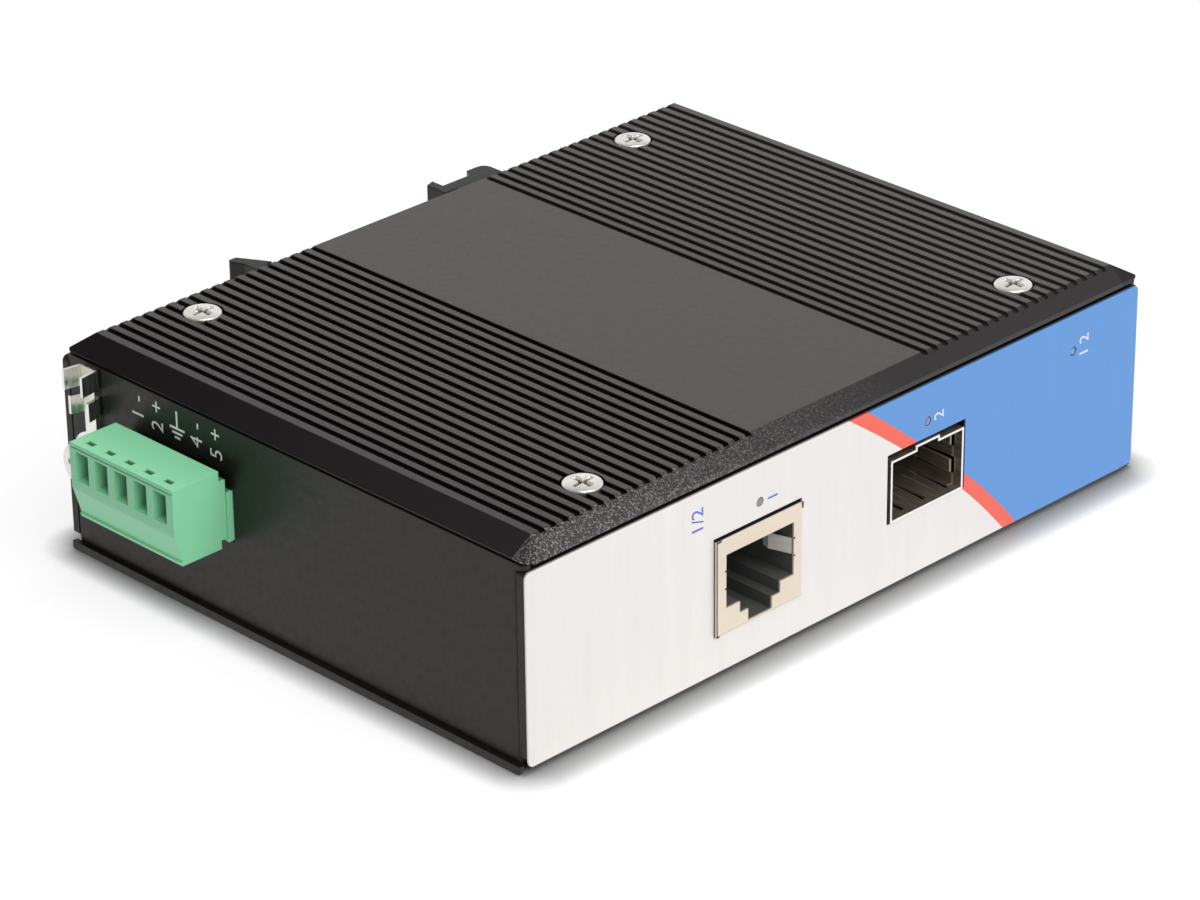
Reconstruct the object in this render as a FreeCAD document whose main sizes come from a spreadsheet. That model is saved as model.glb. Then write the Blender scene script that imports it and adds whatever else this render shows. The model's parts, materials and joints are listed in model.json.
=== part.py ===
import FreeCAD, Part
import math
import os
import Sketcher
from types import SimpleNamespace

# Fibre media converter lying on its base plate, in millimetres.
# X runs along the case with the power terminals at -X, Y from the port side to the rail side, Z up.
# The origin is the middle of the base plate's underside, midway between the cover's long edges.

os.makedirs("parts", exist_ok=True)
doc = FreeCAD.newDocument("media_converter")

DIMENSIONS = {
    # case sheets
    "case_length": 113.5,
    "sheet": 1.2,
    "bend_radius": 1.5,
    "base_lip": 0.75,
    "lip_setback": 0.6,
    "relief_width": 1.0,
    "relief_height": 2.1,
    "wall_top": 27.7,
    "corner_radius": 0.8,
    "rear_overhang": 0.85,
    "end_wall_top": 28.45,
    "end_edge_radius": 0.4,
    "flange_width": 8.0,
    "flange_top": 26.6,
    "flange_setback": 3.0,
    "seat_gap": 0.05,
    # cover
    "cover_depth": 85.3,
    "cover_inset": 0.16,
    "cover_underside": 28.3,
    "cover_top": 30.93,
    "end_bevel_run": 3.17,
    "side_bevel_run": 2.35,
    "bevel_drop": 2.0,
    "cover_corner": 0.8,
    "flat_half_width": 15.8,
    "groove_width": 1.0,
    "groove_depth": 0.45,
    "groove_pitch": 1.97,
    "groove_count": 19,
    "core_drop": 1.4,
    "core_clearance": 0.5,
    "seam_gap": 0.23,
    "rebate_width": 1.35,
    "pedestal_side": 22.0,
    # cover fixing
    "fixing_across": 39.8,
    "fixing_along": 35.2,
    "pocket_radius": 2.85,
    "pocket_depth": 0.75,
    "head_radius": 2.65,
    "head_dome": 0.6,
    "head_dome_radius": 2.1,
    "head_cone": 1.25,
    "screw_radius": 1.5,
    "screw_length": 7.5,
    "screw_clearance": 0.05,
    "through_clearance": 0.2,
    "recess_width": 0.75,
    "recess_length": 3.3,
    "recess_depth": 0.9,
    "standoff_radius": 3.0,
    "stud_length": 6.0,
    "bore_extra": 1.0,
    # overlay on the port side
    "label_thickness": 0.25,
    "label_bottom": 1.1,
    "label_height": 26.45,
    "window_margin": 0.15,
    "window_head_gap": 0.35,
    "wall_window_margin": 0.3,
    # copper port
    "jack_centre": -16.7,
    "jack_bottom": 6.3,
    "jack_width": 15.6,
    "jack_height": 13.4,
    "jack_depth": 21.5,
    "jack_proud": 0.4,
    "jack_skin": 0.3,
    "jack_edge_radius": 0.35,
    "mouth_half_width": 6.1,
    "mouth_step_half": 3.65,
    "mouth_key_half": 2.15,
    "mouth_top": 17.4,
    "mouth_shoulder": 9.95,
    "mouth_step": 8.35,
    "mouth_bottom": 6.7,
    "mouth_depth": 15.0,
    "mouth_back_margin": 0.3,
    "jack_contact_count": 8,
    "jack_contact_pitch": 1.02,
    "jack_contact_width": 0.4,
    "jack_contact_thick": 0.35,
    "jack_contact_start": 2.0,
    "jack_contact_run": 9.5,
    "jack_contact_dip": 3.0,
    # optical module port
    "optics_centre": 14.75,
    "optics_bottom": 10.15,
    "cage_width": 14.0,
    "cage_height": 8.9,
    "cage_depth": 48.5,
    "cage_proud": 0.2,
    "cage_skin": 0.3,
    "cage_window_half_width": 7.5,
    "cage_tab_width": 4.6,
    "cage_tab_depth": 5.5,
    "side_leaf_start": 1.3,
    "side_leaf_length": 6.7,
    "side_leaf_height": 2.4,
    "side_leaf_lower": 2.7,
    "side_leaf_upper": 6.6,
    "side_leaf_lean": 0.5,
    "floor_leaf_start": 1.2,
    "floor_leaf_length": 5.8,
    "floor_leaf_width": 2.2,
    "floor_leaf_1_across": 10.85,
    "floor_leaf_2_across": 14.95,
    "floor_leaf_3_across": 19.45,
    "floor_leaf_lean": 0.35,
    "cage_leg_width": 0.9,
    "cage_leg_first": 6.0,
    "cage_leg_pitch": 9.0,
    "cage_leg_count": 5,
    "host_width": 12.4,
    "host_depth": 9.0,
    "host_height": 6.4,
    "host_slot_width": 10.0,
    "host_slot_height": 1.6,
    "host_slot_depth": 6.0,
    "host_slot_level": 13.6,
    "host_reach": 4.0,
    # lamps
    "lamp_level": 22.25,
    "lamp_link_1_across": -16.4,
    "lamp_link_2_across": 14.8,
    "lamp_power_across": 43.6,
    "lamp_hole_radius": 0.65,
    "lamp_lens_radius": 0.55,
    "lamp_wall_clearance": 0.25,
    "lamp_recess": 0.1,
    "lamp_width": 2.2,
    "lamp_depth": 2.4,
    "lamp_height": 1.9,
    # circuit board
    "board_underside": 19.7,
    "board_thick": 1.6,
    "board_side_gap": 0.9,
    "board_front_gap": 1.9,
    "board_rear_gap": 2.0,
    "board_hole_clearance": 0.3,
    "pin_hole_clearance": 0.12,
    # power header
    "pole_count": 5,
    "pole_pitch": 3.81,
    "terminal_centre": 20.75,
    "header_length": 20.3,
    "header_height": 7.0,
    "header_proud": 0.8,
    "header_depth": 9.2,
    "header_wall": 0.9,
    "header_back": 1.8,
    "header_cut_gap": 0.2,
    "header_pin": 1.0,
    "header_pin_level": 16.2,
    "header_pin_tail": 0.8,
    "header_pin_reach": 1.2,
    "header_key_depth": 0.4,
    "header_key_width": 1.6,
    # power plug
    "plug_width": 20.0,
    "plug_bottom": 12.1,
    "plug_top": 23.1,
    "plug_rear_gap": 1.1,
    "plug_depth": 7.7,
    "plug_slant": 1.45,
    "plug_slant_level": 16.9,
    "plug_ledge": 0.25,
    "plug_ledge_height": 0.5,
    "plug_groove": 0.2,
    "plug_groove_level": 22.45,
    "plug_step_bottom": 13.3,
    "plug_step_top": 21.6,
    "plug_step_depth": 1.0,
    "nose_gap": 0.12,
    "nose_length": 6.4,
    "chamber_width": 3.0,
    "chamber_outer": 2.2,
    "chamber_inner": 1.3,
    "chamber_roof": 0.7,
    "chamber_floor": 2.15,
    "wire_window_width": 2.4,
    "wire_window_bottom": 18.0,
    "wire_window_top": 22.1,
    "test_notch_width": 1.6,
    "test_notch_depth": 0.8,
    "test_notch_inset": 1.2,
    "screw_well_radius": 1.45,
    "socket_half_height": 0.95,
    "socket_half_width": 0.85,
    # clamps in the plug
    "clamp_width": 2.8,
    "clamp_run": 3.3,
    "clamp_wall": 0.35,
    "clamp_floor": 1.0,
    "clamp_lid": 0.7,
    "clamp_bottom": 15.9,
    "clamp_height": 6.4,
    "clamp_screw_head_radius": 1.3,
    "clamp_screw_head": 1.7,
    "clamp_screw_radius": 0.95,
    "clamp_screw_sink": 0.3,
    "clamp_slot": 0.45,
    "clamp_slot_depth": 0.7,
    "clamp_bore_clearance": 0.05,
    "bar_thick": 0.8,
    "bar_width": 1.9,
    "bar_gap": 0.1,
    "leaf_thick": 0.25,
    "leaf_width": 1.3,
    # earth point
    "earth_along": 37.5,
    "earth_level": 15.0,
    "lug_thick": 0.7,
    "lug_ring_radius": 3.8,
    "lug_neck_width": 2.2,
    "wire_barrel_bottom": 21.6,
    "wire_barrel_top": 24.2,
    "wire_barrel_reach": 2.5,
    "grip_barrel_bottom": 25.4,
    "grip_barrel_top": 28.2,
    "grip_barrel_reach": 3.3,
    "barrel_half_width": 1.6,
    "barrel_wing": 0.45,
    "earth_screw_radius": 2.0,
    "earth_head_radius": 3.0,
    "earth_head_height": 1.9,
    "earth_screw_reach": 6.5,
    "washer_radius": 3.3,
    "washer_thick": 0.6,
    "nut_radius": 3.3,
    "nut_height": 3.0,
    # rail clip
    "clip_bottom": 4.5,
    "clip_top": 26.5,
    "clip_base": 2.8,
    "clip_left": -23.5,
    "clip_right": 26.3,
    "rail_half_width": 17.5,
    "rail_clearance": 0.25,
    "rail_flange_gap": 1.7,
    "hook_lip_reach": 2.25,
    "hook_lip_thick": 2.1,
    "hook_ridge_width": 1.5,
    "hook_ridge_height": 2.2,
    "hook_ridge_slope": 0.55,
    "hook_bump_width": 3.4,
    "hook_bump_height": 1.4,
    "hook_bump_run": 0.7,
    "latch_post_width": 2.1,
    "latch_tip_width": 1.65,
    "latch_tip_height": 2.55,
    "latch_tip_lean": 1.0,
    "latch_tip_round": 0.45,
    "latch_nose": 1.0,
    "latch_lead_width": 0.3,
    "channel_half_width": 5.0,
    "channel_floor": 0.3,
    "channel_lip": 1.4,
    "slider_gap": 0.1,
    "slider_thick": 1.4,
    "slider_tail": -28.5,
    "slider_inner": 8.0,
    "tail_slot_width": 4.0,
    "tail_slot_length": 1.8,
    "tail_slot_margin": 1.2,
    "spring_radius": 0.75,
    "spring_wire": 0.2,
    "spring_turns": 6,
    "spring_sides": 8,
    "spring_seat": -6.0,
    "spring_window_end": 6.0,
    "spring_post_width": 1.5,
    "spring_side_gap": 0.5,
    "clip_screw_inner": 13.0,
    "clip_screw_outer": -12.5,
    "clip_screw_margin": 2.9,
    "clip_screw_radius": 1.2,
    "clip_screw_head_radius": 2.3,
    "clip_screw_reach": 1.4,
    # pieces on the board
    "chip_side": 14.0,
    "chip_height": 1.4,
    "chip_across": -4.0,
    "chip_along": 8.0,
    "pad_thick": 1.0,
    "driver_side": 7.0,
    "driver_height": 1.0,
    "driver_across": 30.0,
    "driver_along": -10.0,
    "crystal_length": 10.5,
    "crystal_width": 4.4,
    "crystal_height": 3.4,
    "crystal_across": 13.0,
    "crystal_along": 18.0,
    "transformer_length": 16.0,
    "transformer_width": 13.0,
    "transformer_height": 5.6,
    "transformer_along": -11.0,
    "inductor_side": 10.0,
    "inductor_height": 4.2,
    "inductor_across": -32.0,
    "inductor_along": 20.0,
    "capacitor_radius": 4.0,
    "capacitor_height": 11.5,
    "capacitor_across": -38.0,
    "capacitor_first": -12.0,
    "capacitor_pitch": 10.0,
    "capacitor_count": 2,
    "fuse_length": 9.5,
    "fuse_radius": 2.2,
    "fuse_across": -38.0,
    "fuse_along": 8.0,
}


class Size:
    """A number in millimetres together with the sheet formula that gives it."""

    def __init__(self, formula, number):
        self.formula = formula
        self.number = number

    def __add__(self, other):
        other = sized(other)
        return Size("(%s + %s)" % (self.formula, other.formula), self.number + other.number)

    def __radd__(self, other):
        return sized(other) + self

    def __sub__(self, other):
        other = sized(other)
        return Size("(%s - %s)" % (self.formula, other.formula), self.number - other.number)

    def __rsub__(self, other):
        return sized(other) - self

    def __mul__(self, other):
        other = sized(other)
        return Size("(%s * %s)" % (self.formula, other.formula), self.number * other.number)

    def __rmul__(self, other):
        return sized(other) * self

    def __truediv__(self, other):
        other = sized(other)
        return Size("(%s / %s)" % (self.formula, other.formula), self.number / other.number)

    def __neg__(self):
        return sized(-1) * self


def sized(value):
    """The value itself if it is a Size, else a plain number made into one."""
    if isinstance(value, Size):
        return value
    return Size(repr(value), float(value))


def write_sheet():
    """Put every driving dimension in a sheet and return them by name."""
    sheet = doc.addObject("Spreadsheet::Sheet", "Sizes")
    sizes = {}
    for row, (name, number) in enumerate(DIMENSIONS.items(), start=1):
        sheet.set("A%d" % row, name)
        sheet.set("B%d" % row, str(number))
        sheet.setAlias("B%d" % row, name)
        sizes[name] = Size("Sizes." + name, float(number))
    doc.recompute()
    return SimpleNamespace(**sizes)


d = write_sheet()
NODES = []


def bind(item, path, size):
    item.setExpression(path, sized(size).formula)


def place(item, x, y, z):
    for axis, size in zip("xyz", (x, y, z)):
        bind(item, "Placement.Base." + axis, size)


def node(item):
    """Keep this object as one named sub-part of the product."""
    NODES.append(item)
    return item


# Solids from sizes

TURNED = {
    "X": FreeCAD.Rotation(FreeCAD.Vector(0, 1, 0), 90),
    "Y": FreeCAD.Rotation(FreeCAD.Vector(1, 0, 0), -90),
    "Z": FreeCAD.Rotation(),
}


def box(name, x, y, z):
    """Block between a low and a high size along each axis."""
    item = doc.addObject("Part::Box", name)
    for side, (low, high) in zip(("Length", "Width", "Height"), (x, y, z)):
        bind(item, side, high - low)
    place(item, x[0], y[0], z[0])
    return item


def place_along(item, axis, centre, low):
    """Turn an upright primitive to an axis; centre gives the other two coordinates in XYZ order."""
    item.Placement = FreeCAD.Placement(FreeCAD.Vector(), TURNED[axis])
    spot = list(centre)
    spot.insert("XYZ".index(axis), low)
    place(item, *spot)


def rod(name, axis, radius, centre, low, high):
    item = doc.addObject("Part::Cylinder", name)
    bind(item, "Radius", radius)
    bind(item, "Height", high - low)
    place_along(item, axis, centre, low)
    return item


def cone(name, axis, low_radius, high_radius, centre, low, high):
    item = doc.addObject("Part::Cone", name)
    bind(item, "Radius1", low_radius)
    bind(item, "Radius2", high_radius)
    bind(item, "Height", high - low)
    place_along(item, axis, centre, low)
    return item


def hexagon(name, radius, centre, low, high):
    item = doc.addObject("Part::Prism", name)
    item.Polygon = 6
    bind(item, "Circumradius", radius)
    bind(item, "Height", high - low)
    place_along(item, "Z", centre, low)
    return item


def fuse(name, *pieces):
    item = doc.addObject("Part::MultiFuse", name)
    item.Shapes = list(pieces)
    return item


def cut(name, base, *tools):
    item = doc.addObject("Part::Cut", name)
    item.Base = base
    item.Tool = tools[0] if len(tools) == 1 else fuse(name + "_tools", *tools)
    return item


def group(name, pieces):
    """Equal separate solids kept in one file."""
    item = doc.addObject("Part::Compound", name)
    item.Links = list(pieces)
    return item


# Sketched bodies


def origin_feature(body, role):
    return [item for item in body.Origin.OriginFeatures if item.Role == role][0]


def tie(sketch, kind, index, point, size):
    """Hold one coordinate of a sketch point at a size from the origin."""
    size = sized(size)
    number = sketch.addConstraint(Sketcher.Constraint(kind, -1, 1, index, point, size.number))
    bind(sketch, "Constraints[%d]" % number, size)


def polygon(*points):
    """Closed loop of straight lines through pairs of sizes."""
    points = [(sized(across), sized(up)) for across, up in points]

    def draw(sketch):
        first = sketch.GeometryCount
        spots = [FreeCAD.Vector(across.number, up.number, 0) for across, up in points]
        for start, end in zip(spots, spots[1:] + spots[:1]):
            sketch.addGeometry(Part.LineSegment(start, end), False)
        for index, (across, up) in enumerate(points):
            before = first + (index - 1) % len(points)
            sketch.addConstraint(Sketcher.Constraint("Coincident", before, 2, first + index, 1))
            tie(sketch, "DistanceX", first + index, 1, across)
            tie(sketch, "DistanceY", first + index, 1, up)

    return draw


def rectangle(left, right, low, high):
    return polygon((left, low), (right, low), (right, high), (left, high))


def circle(centre, radius):
    across, up = (sized(size) for size in centre)

    def draw(sketch):
        middle = FreeCAD.Vector(across.number, up.number, 0)
        index = sketch.addGeometry(Part.Circle(middle, FreeCAD.Vector(0, 0, 1), radius.number), False)
        tie(sketch, "DistanceX", index, 3, across)
        tie(sketch, "DistanceY", index, 3, up)
        number = sketch.addConstraint(Sketcher.Constraint("Radius", index, radius.number))
        bind(sketch, "Constraints[%d]" % number, radius)

    return draw


def sketch_on(body, name, role, level, figures):
    sketch = body.newObject("Sketcher::SketchObject", name)
    sketch.AttachmentSupport = [(origin_feature(body, role), "")]
    sketch.MapMode = "FlatFace"
    bind(sketch, "AttachmentOffset.Base.z", level)
    for draw in figures:
        draw(sketch)
    return sketch


# A sketch on the XZ plane faces -Y, so its level is counted that way.
FACING = {"XY_Plane": 1, "YZ_Plane": 1, "XZ_Plane": -1}


def extrude(body, name, role, low, high, *figures):
    """Pad the figures from low to high across the plane."""
    level = low if FACING[role] == 1 else -high
    sketch = sketch_on(body, name + "_sketch", role, level, figures)
    pad = body.newObject("PartDesign::Pad", name)
    pad.Profile = sketch
    bind(pad, "Length", high - low)
    body.Tip = pad
    return pad


def pocket(body, name, role, low, high, *figures):
    """Cut the figures from low to high across the plane."""
    level = high if FACING[role] == 1 else -low
    sketch = sketch_on(body, name + "_sketch", role, level, figures)
    item = body.newObject("PartDesign::Pocket", name)
    item.Profile = sketch
    bind(item, "Length", high - low)
    body.Tip = item
    return item


def repeat(body, name, feature, role, step, count):
    pattern = body.newObject("PartDesign::LinearPattern", name)
    pattern.Originals = [feature]
    pattern.Direction = (origin_feature(body, role), [""])
    pattern.Mode = "Spacing"
    bind(pattern, "Offset", step)
    bind(pattern, "Occurrences", count)
    body.Tip = pattern
    return pattern


def round_edges(body, name, radius, wanted):
    """Fillet the edges of the body's present shape that the test picks."""
    base = body.Tip
    doc.recompute()
    picked = ["Edge%d" % number for number, edge in enumerate(base.Shape.Edges, start=1) if wanted(edge)]
    fillet = body.newObject("PartDesign::Fillet", name)
    fillet.Base = (base, picked)
    bind(fillet, "Radius", radius)
    body.Tip = fillet
    return fillet


NEAR = 0.001


def runs_along(edge, axis):
    """True for a straight edge parallel to the axis."""
    if edge.Curve.TypeId != "Part::GeomLine":
        return False
    box_size = edge.BoundBox
    lengths = {"X": box_size.XLength, "Y": box_size.YLength, "Z": box_size.ZLength}
    return all(length < NEAR for other, length in lengths.items() if other != axis)


def close(number, size):
    return abs(number - sized(size).number) < NEAR


def new_body(name):
    return doc.addObject("PartDesign::Body", name)


def at_end(side, inner, outer):
    """Low and high size of a band between two distances from the middle, on side -1 or 1."""
    return (inner, outer) if side > 0 else (-outer, -inner)


# Levels and faces that several pieces share

HALF = d.case_length / 2
COVER_EDGE = d.cover_depth / 2
FRONT_OUT = d.label_thickness - COVER_EDGE
FRONT_IN = FRONT_OUT + d.sheet
REAR_OUT = COVER_EDGE + d.rear_overhang
REAR_IN = REAR_OUT - d.sheet
END_IN = HALF - d.sheet
FLOOR = d.sheet
CORE_BOTTOM = d.cover_underside - d.core_drop
BOARD_TOP = d.board_underside + d.board_thick
FIXINGS = [(a * d.fixing_across, b * d.fixing_along) for a in (-1, 1) for b in (-1, 1)]
LABEL_TOP = d.label_bottom + d.label_height
JACK_TOP = d.jack_bottom + d.jack_height
JACK_FRONT = -COVER_EDGE - d.jack_proud
JACK_BACK = JACK_FRONT + d.jack_depth
CAGE_TOP = d.optics_bottom + d.cage_height
CAGE_FRONT = -COVER_EDGE - d.cage_proud
CAGE_BACK = CAGE_FRONT + d.cage_depth
CAGE_LEFT = d.optics_centre - d.cage_width / 2
CAGE_RIGHT = d.optics_centre + d.cage_width / 2
FLOOR_LEAVES = (d.floor_leaf_1_across, d.floor_leaf_2_across, d.floor_leaf_3_across)
LAMPS = {
    "lamp_link_1": d.lamp_link_1_across,
    "lamp_link_2": d.lamp_link_2_across,
    "lamp_power": d.lamp_power_across,
}
HEADER_TOP = d.board_underside
HEADER_BOTTOM = HEADER_TOP - d.header_height
HEADER_FACE = -HALF - d.header_proud
HEADER_BACK = HEADER_FACE + d.header_depth
HEADER_LOW = d.terminal_centre - d.header_length / 2
HEADER_HIGH = d.terminal_centre + d.header_length / 2
SHROUD_FLOOR = HEADER_BACK - d.header_back
POLE_MIDDLE = (d.pole_count - 1) / 2
POLES = [
    d.terminal_centre + (number - POLE_MIDDLE) * d.pole_pitch
    for number in range(int(DIMENSIONS["pole_count"]))
]
CLIP_MIDDLE = (d.clip_bottom + d.clip_top) / 2
CLIP_SPOTS = [
    (d.clip_screw_outer, d.clip_bottom + d.clip_screw_margin),
    (d.clip_screw_outer, d.clip_top - d.clip_screw_margin),
    (d.clip_screw_inner, CLIP_MIDDLE),
]


# Case sheets


def chassis_shell():
    """One folded sheet: port wall, base with end lips, and rail wall."""
    body = new_body("chassis_shell")
    extrude(
        body, "shell_section", "YZ_Plane", -HALF, HALF,
        polygon(
            (FRONT_OUT, 0), (REAR_OUT, 0), (REAR_OUT, d.wall_top), (REAR_IN, d.wall_top),
            (REAR_IN, FLOOR), (FRONT_IN, FLOOR), (FRONT_IN, d.wall_top), (FRONT_OUT, d.wall_top),
        ),
    )
    lip = (FRONT_OUT + d.lip_setback, REAR_OUT - d.lip_setback)
    lip_end = HALF + d.base_lip
    extrude(body, "shell_lips", "XY_Plane", sized(0), d.sheet,
            rectangle(-lip_end, lip_end, *lip))
    round_edges(
        body, "shell_bends", d.bend_radius,
        lambda edge: runs_along(edge, "X") and edge.BoundBox.ZMax < NEAR
        and (close(edge.BoundBox.YMin, FRONT_OUT) or close(edge.BoundBox.YMin, REAR_OUT)),
    )
    round_edges(
        body, "shell_inner_bends", d.bend_radius - d.sheet,
        lambda edge: runs_along(edge, "X") and close(edge.BoundBox.ZMin, FLOOR)
        and (close(edge.BoundBox.YMin, FRONT_IN) or close(edge.BoundBox.YMin, REAR_IN)),
    )
    round_edges(
        body, "shell_corners", d.corner_radius,
        lambda edge: runs_along(edge, "Y") and close(edge.BoundBox.ZMin, d.wall_top),
    )
    inner = HALF - d.relief_width
    bend_ends = [(FRONT_OUT, FRONT_OUT + d.bend_radius), (REAR_OUT - d.bend_radius, REAR_OUT)]
    pocket(
        body, "shell_relief_notches", "XY_Plane", sized(0), d.relief_height,
        *[rectangle(*at_end(side, inner, HALF), *bend) for side in (-1, 1) for bend in bend_ends],
    )
    margin = d.window_margin + d.wall_window_margin
    head_margin = d.window_head_gap + d.wall_window_margin
    jack_half = d.jack_width / 2 + margin
    optics_half = d.cage_window_half_width + d.wall_window_margin
    lamp_radius = d.lamp_lens_radius + d.lamp_wall_clearance
    pocket(
        body, "shell_ports", "XZ_Plane", FRONT_OUT, FRONT_IN,
        rectangle(d.jack_centre - jack_half, d.jack_centre + jack_half,
                  d.jack_bottom - margin, JACK_TOP + head_margin),
        rectangle(d.optics_centre - optics_half, d.optics_centre + optics_half,
                  d.optics_bottom - margin, CAGE_TOP + head_margin + d.cage_skin),
        *[circle((across, d.lamp_level), lamp_radius) for across in LAMPS.values()],
    )
    pocket(
        body, "shell_clip_holes", "XZ_Plane", REAR_IN, REAR_OUT,
        *[circle(spot, d.clip_screw_radius + d.screw_clearance) for spot in CLIP_SPOTS],
    )
    node(body)


def end_wall(name, side):
    """Folded end sheet with a foot on the base and a flange behind each long wall."""
    plate_x = at_end(side, END_IN, HALF)
    flange_x = at_end(side, HALF - d.flange_width, END_IN)
    bend = d.bend_radius - d.sheet
    body = new_body(name + "_plate")
    extrude(
        body, name + "_outline", "YZ_Plane", plate_x[0], plate_x[1],
        polygon(
            (FRONT_IN + bend, FLOOR), (REAR_IN - bend, FLOOR), (REAR_IN, FLOOR + bend),
            (REAR_IN, d.end_wall_top), (FRONT_OUT + d.seat_gap, d.end_wall_top),
            (FRONT_OUT + d.seat_gap, d.wall_top + d.seat_gap),
            (FRONT_IN, d.wall_top + d.seat_gap), (FRONT_IN, FLOOR + bend),
        ),
    )
    outer = HALF if side > 0 else -HALF
    round_edges(
        body, name + "_edges", d.end_edge_radius,
        lambda edge: runs_along(edge, "Z") and close(edge.BoundBox.XMin, outer)
        and edge.BoundBox.ZLength > d.flange_top.number / 2,
    )
    round_edges(
        body, name + "_top_corner", d.corner_radius,
        lambda edge: runs_along(edge, "Z") and close(edge.BoundBox.XMin, outer)
        and close(edge.BoundBox.YMin, FRONT_OUT + d.seat_gap),
    )
    foot = box(name + "_foot", flange_x, (FRONT_IN + d.flange_setback, REAR_IN - d.flange_setback),
               (FLOOR, FLOOR + d.sheet))
    front = box(name + "_front_flange", flange_x, (FRONT_IN, FRONT_IN + d.sheet),
                (FLOOR + d.bend_radius, d.flange_top))
    rear = box(name + "_rear_flange", flange_x, (REAR_IN - d.sheet, REAR_IN),
               (FLOOR + d.bend_radius, d.flange_top))
    if side > 0:
        return node(fuse(name, body, foot, front, rear))
    whole = fuse(name + "_whole", body, foot, front, rear)
    opening = box(
        name + "_header_opening", at_end(side, END_IN - d.sheet, HALF + d.sheet),
        (HEADER_LOW - d.header_cut_gap, HEADER_HIGH + d.header_cut_gap),
        (HEADER_BOTTOM - d.header_cut_gap, HEADER_TOP + d.header_cut_gap),
    )
    earth = rod(name + "_earth_hole", "X", d.earth_screw_radius + d.screw_clearance,
                (d.earth_along, d.earth_level), -HALF - d.sheet, -END_IN + d.sheet)
    return node(cut(name, whole, opening, earth))


def heatsink_cover():
    """Ribbed extrusion: bevelled on four sides, with countersunk pockets and a pedestal below."""
    length_half = HALF - d.cover_inset
    body = new_body("cover_extrusion")
    extrude(body, "cover_plate", "XY_Plane", d.cover_underside, d.cover_top,
            rectangle(-length_half, length_half, -COVER_EDGE, COVER_EDGE))
    round_edges(body, "cover_corners", d.cover_corner, lambda edge: runs_along(edge, "Z"))
    foot = d.cover_top - d.bevel_drop
    above = d.cover_top + d.bevel_drop
    for side in (-1, 1):
        pocket(
            body, "cover_side_bevel_%s" % ("low" if side < 0 else "high"), "YZ_Plane", -HALF, HALF,
            polygon(
                (side * COVER_EDGE, foot), (side * (COVER_EDGE - d.side_bevel_run), d.cover_top),
                (side * (COVER_EDGE - d.side_bevel_run * 2), above), (side * (COVER_EDGE + d.sheet), above),
                (side * (COVER_EDGE + d.sheet), foot),
            ),
        )
        pocket(
            body, "cover_end_bevel_%s" % ("low" if side < 0 else "high"), "XZ_Plane", -COVER_EDGE, COVER_EDGE,
            polygon(
                (side * length_half, foot), (side * (length_half - d.end_bevel_run), d.cover_top),
                (side * (length_half - d.end_bevel_run * 2), above), (side * (length_half + d.sheet), above),
                (side * (length_half + d.sheet), foot),
            ),
        )
    first = d.flat_half_width
    last = first + (d.groove_count - 1) * d.groove_pitch
    floor = d.cover_top - d.groove_depth
    grooves = pocket(
        body, "cover_first_grooves", "XZ_Plane", -COVER_EDGE, COVER_EDGE,
        rectangle(first, first + d.groove_width, floor, above),
        rectangle(-last - d.groove_width, -last, floor, above),
    )
    repeat(body, "cover_grooves", grooves, "X_Axis", d.groove_pitch, d.groove_count)
    gap = d.core_clearance
    core = box("cover_core", (gap - END_IN, END_IN - gap), (FRONT_IN + gap, REAR_IN - gap),
               (CORE_BOTTOM, d.cover_underside + d.seat_gap))
    pedestal_half = d.pedestal_side / 2
    pedestal = box(
        "cover_pedestal", (d.chip_across - pedestal_half, d.chip_across + pedestal_half),
        (d.chip_along - pedestal_half, d.chip_along + pedestal_half),
        (BOARD_TOP + d.chip_height + d.pad_thick, CORE_BOTTOM + d.seat_gap),
    )
    solid = fuse("cover_solid", body, core, pedestal)
    tools = []
    for side in (-1, 1):
        tools.append(box(
            "cover_rebate_%d" % (side + 1), at_end(side, HALF - d.rebate_width, HALF + d.sheet),
            (-COVER_EDGE - d.sheet, COVER_EDGE + d.sheet),
            (d.cover_underside - d.sheet, d.end_wall_top + d.seam_gap),
        ))
    seat = d.cover_top - d.pocket_depth
    for number, spot in enumerate(FIXINGS, start=1):
        tools.append(rod("cover_pocket_%d" % number, "Z", d.pocket_radius, spot, seat, above))
        tools.append(cone("cover_sink_%d" % number, "Z", d.screw_radius + d.through_clearance,
                          d.head_radius + d.through_clearance, spot, seat - d.head_cone, seat))
        tools.append(rod("cover_hole_%d" % number, "Z", d.screw_radius + d.through_clearance, spot,
                         CORE_BOTTOM - d.sheet, seat))
    return node(cut("heatsink_cover", solid, *tools))


def front_label():
    """Thin overlay with rounded corners, two port windows and three lamp holes."""
    body = new_body("front_label")
    extrude(body, "label_sheet", "XZ_Plane", -COVER_EDGE, FRONT_OUT,
            rectangle(-HALF, HALF, d.label_bottom, LABEL_TOP))
    round_edges(body, "label_corners", d.corner_radius, lambda edge: runs_along(edge, "Y"))
    jack_half = d.jack_width / 2 + d.window_margin
    pocket(
        body, "label_windows", "XZ_Plane", -COVER_EDGE, FRONT_OUT,
        rectangle(d.jack_centre - jack_half, d.jack_centre + jack_half,
                  d.jack_bottom - d.window_margin, JACK_TOP + d.window_head_gap),
        rectangle(d.optics_centre - d.cage_window_half_width, d.optics_centre + d.cage_window_half_width,
                  d.optics_bottom - d.window_margin, CAGE_TOP + d.window_head_gap + d.cage_skin * 2),
        *[circle((across, d.lamp_level), d.lamp_hole_radius) for across in LAMPS.values()],
    )
    node(body)


# Cover fixing


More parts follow.
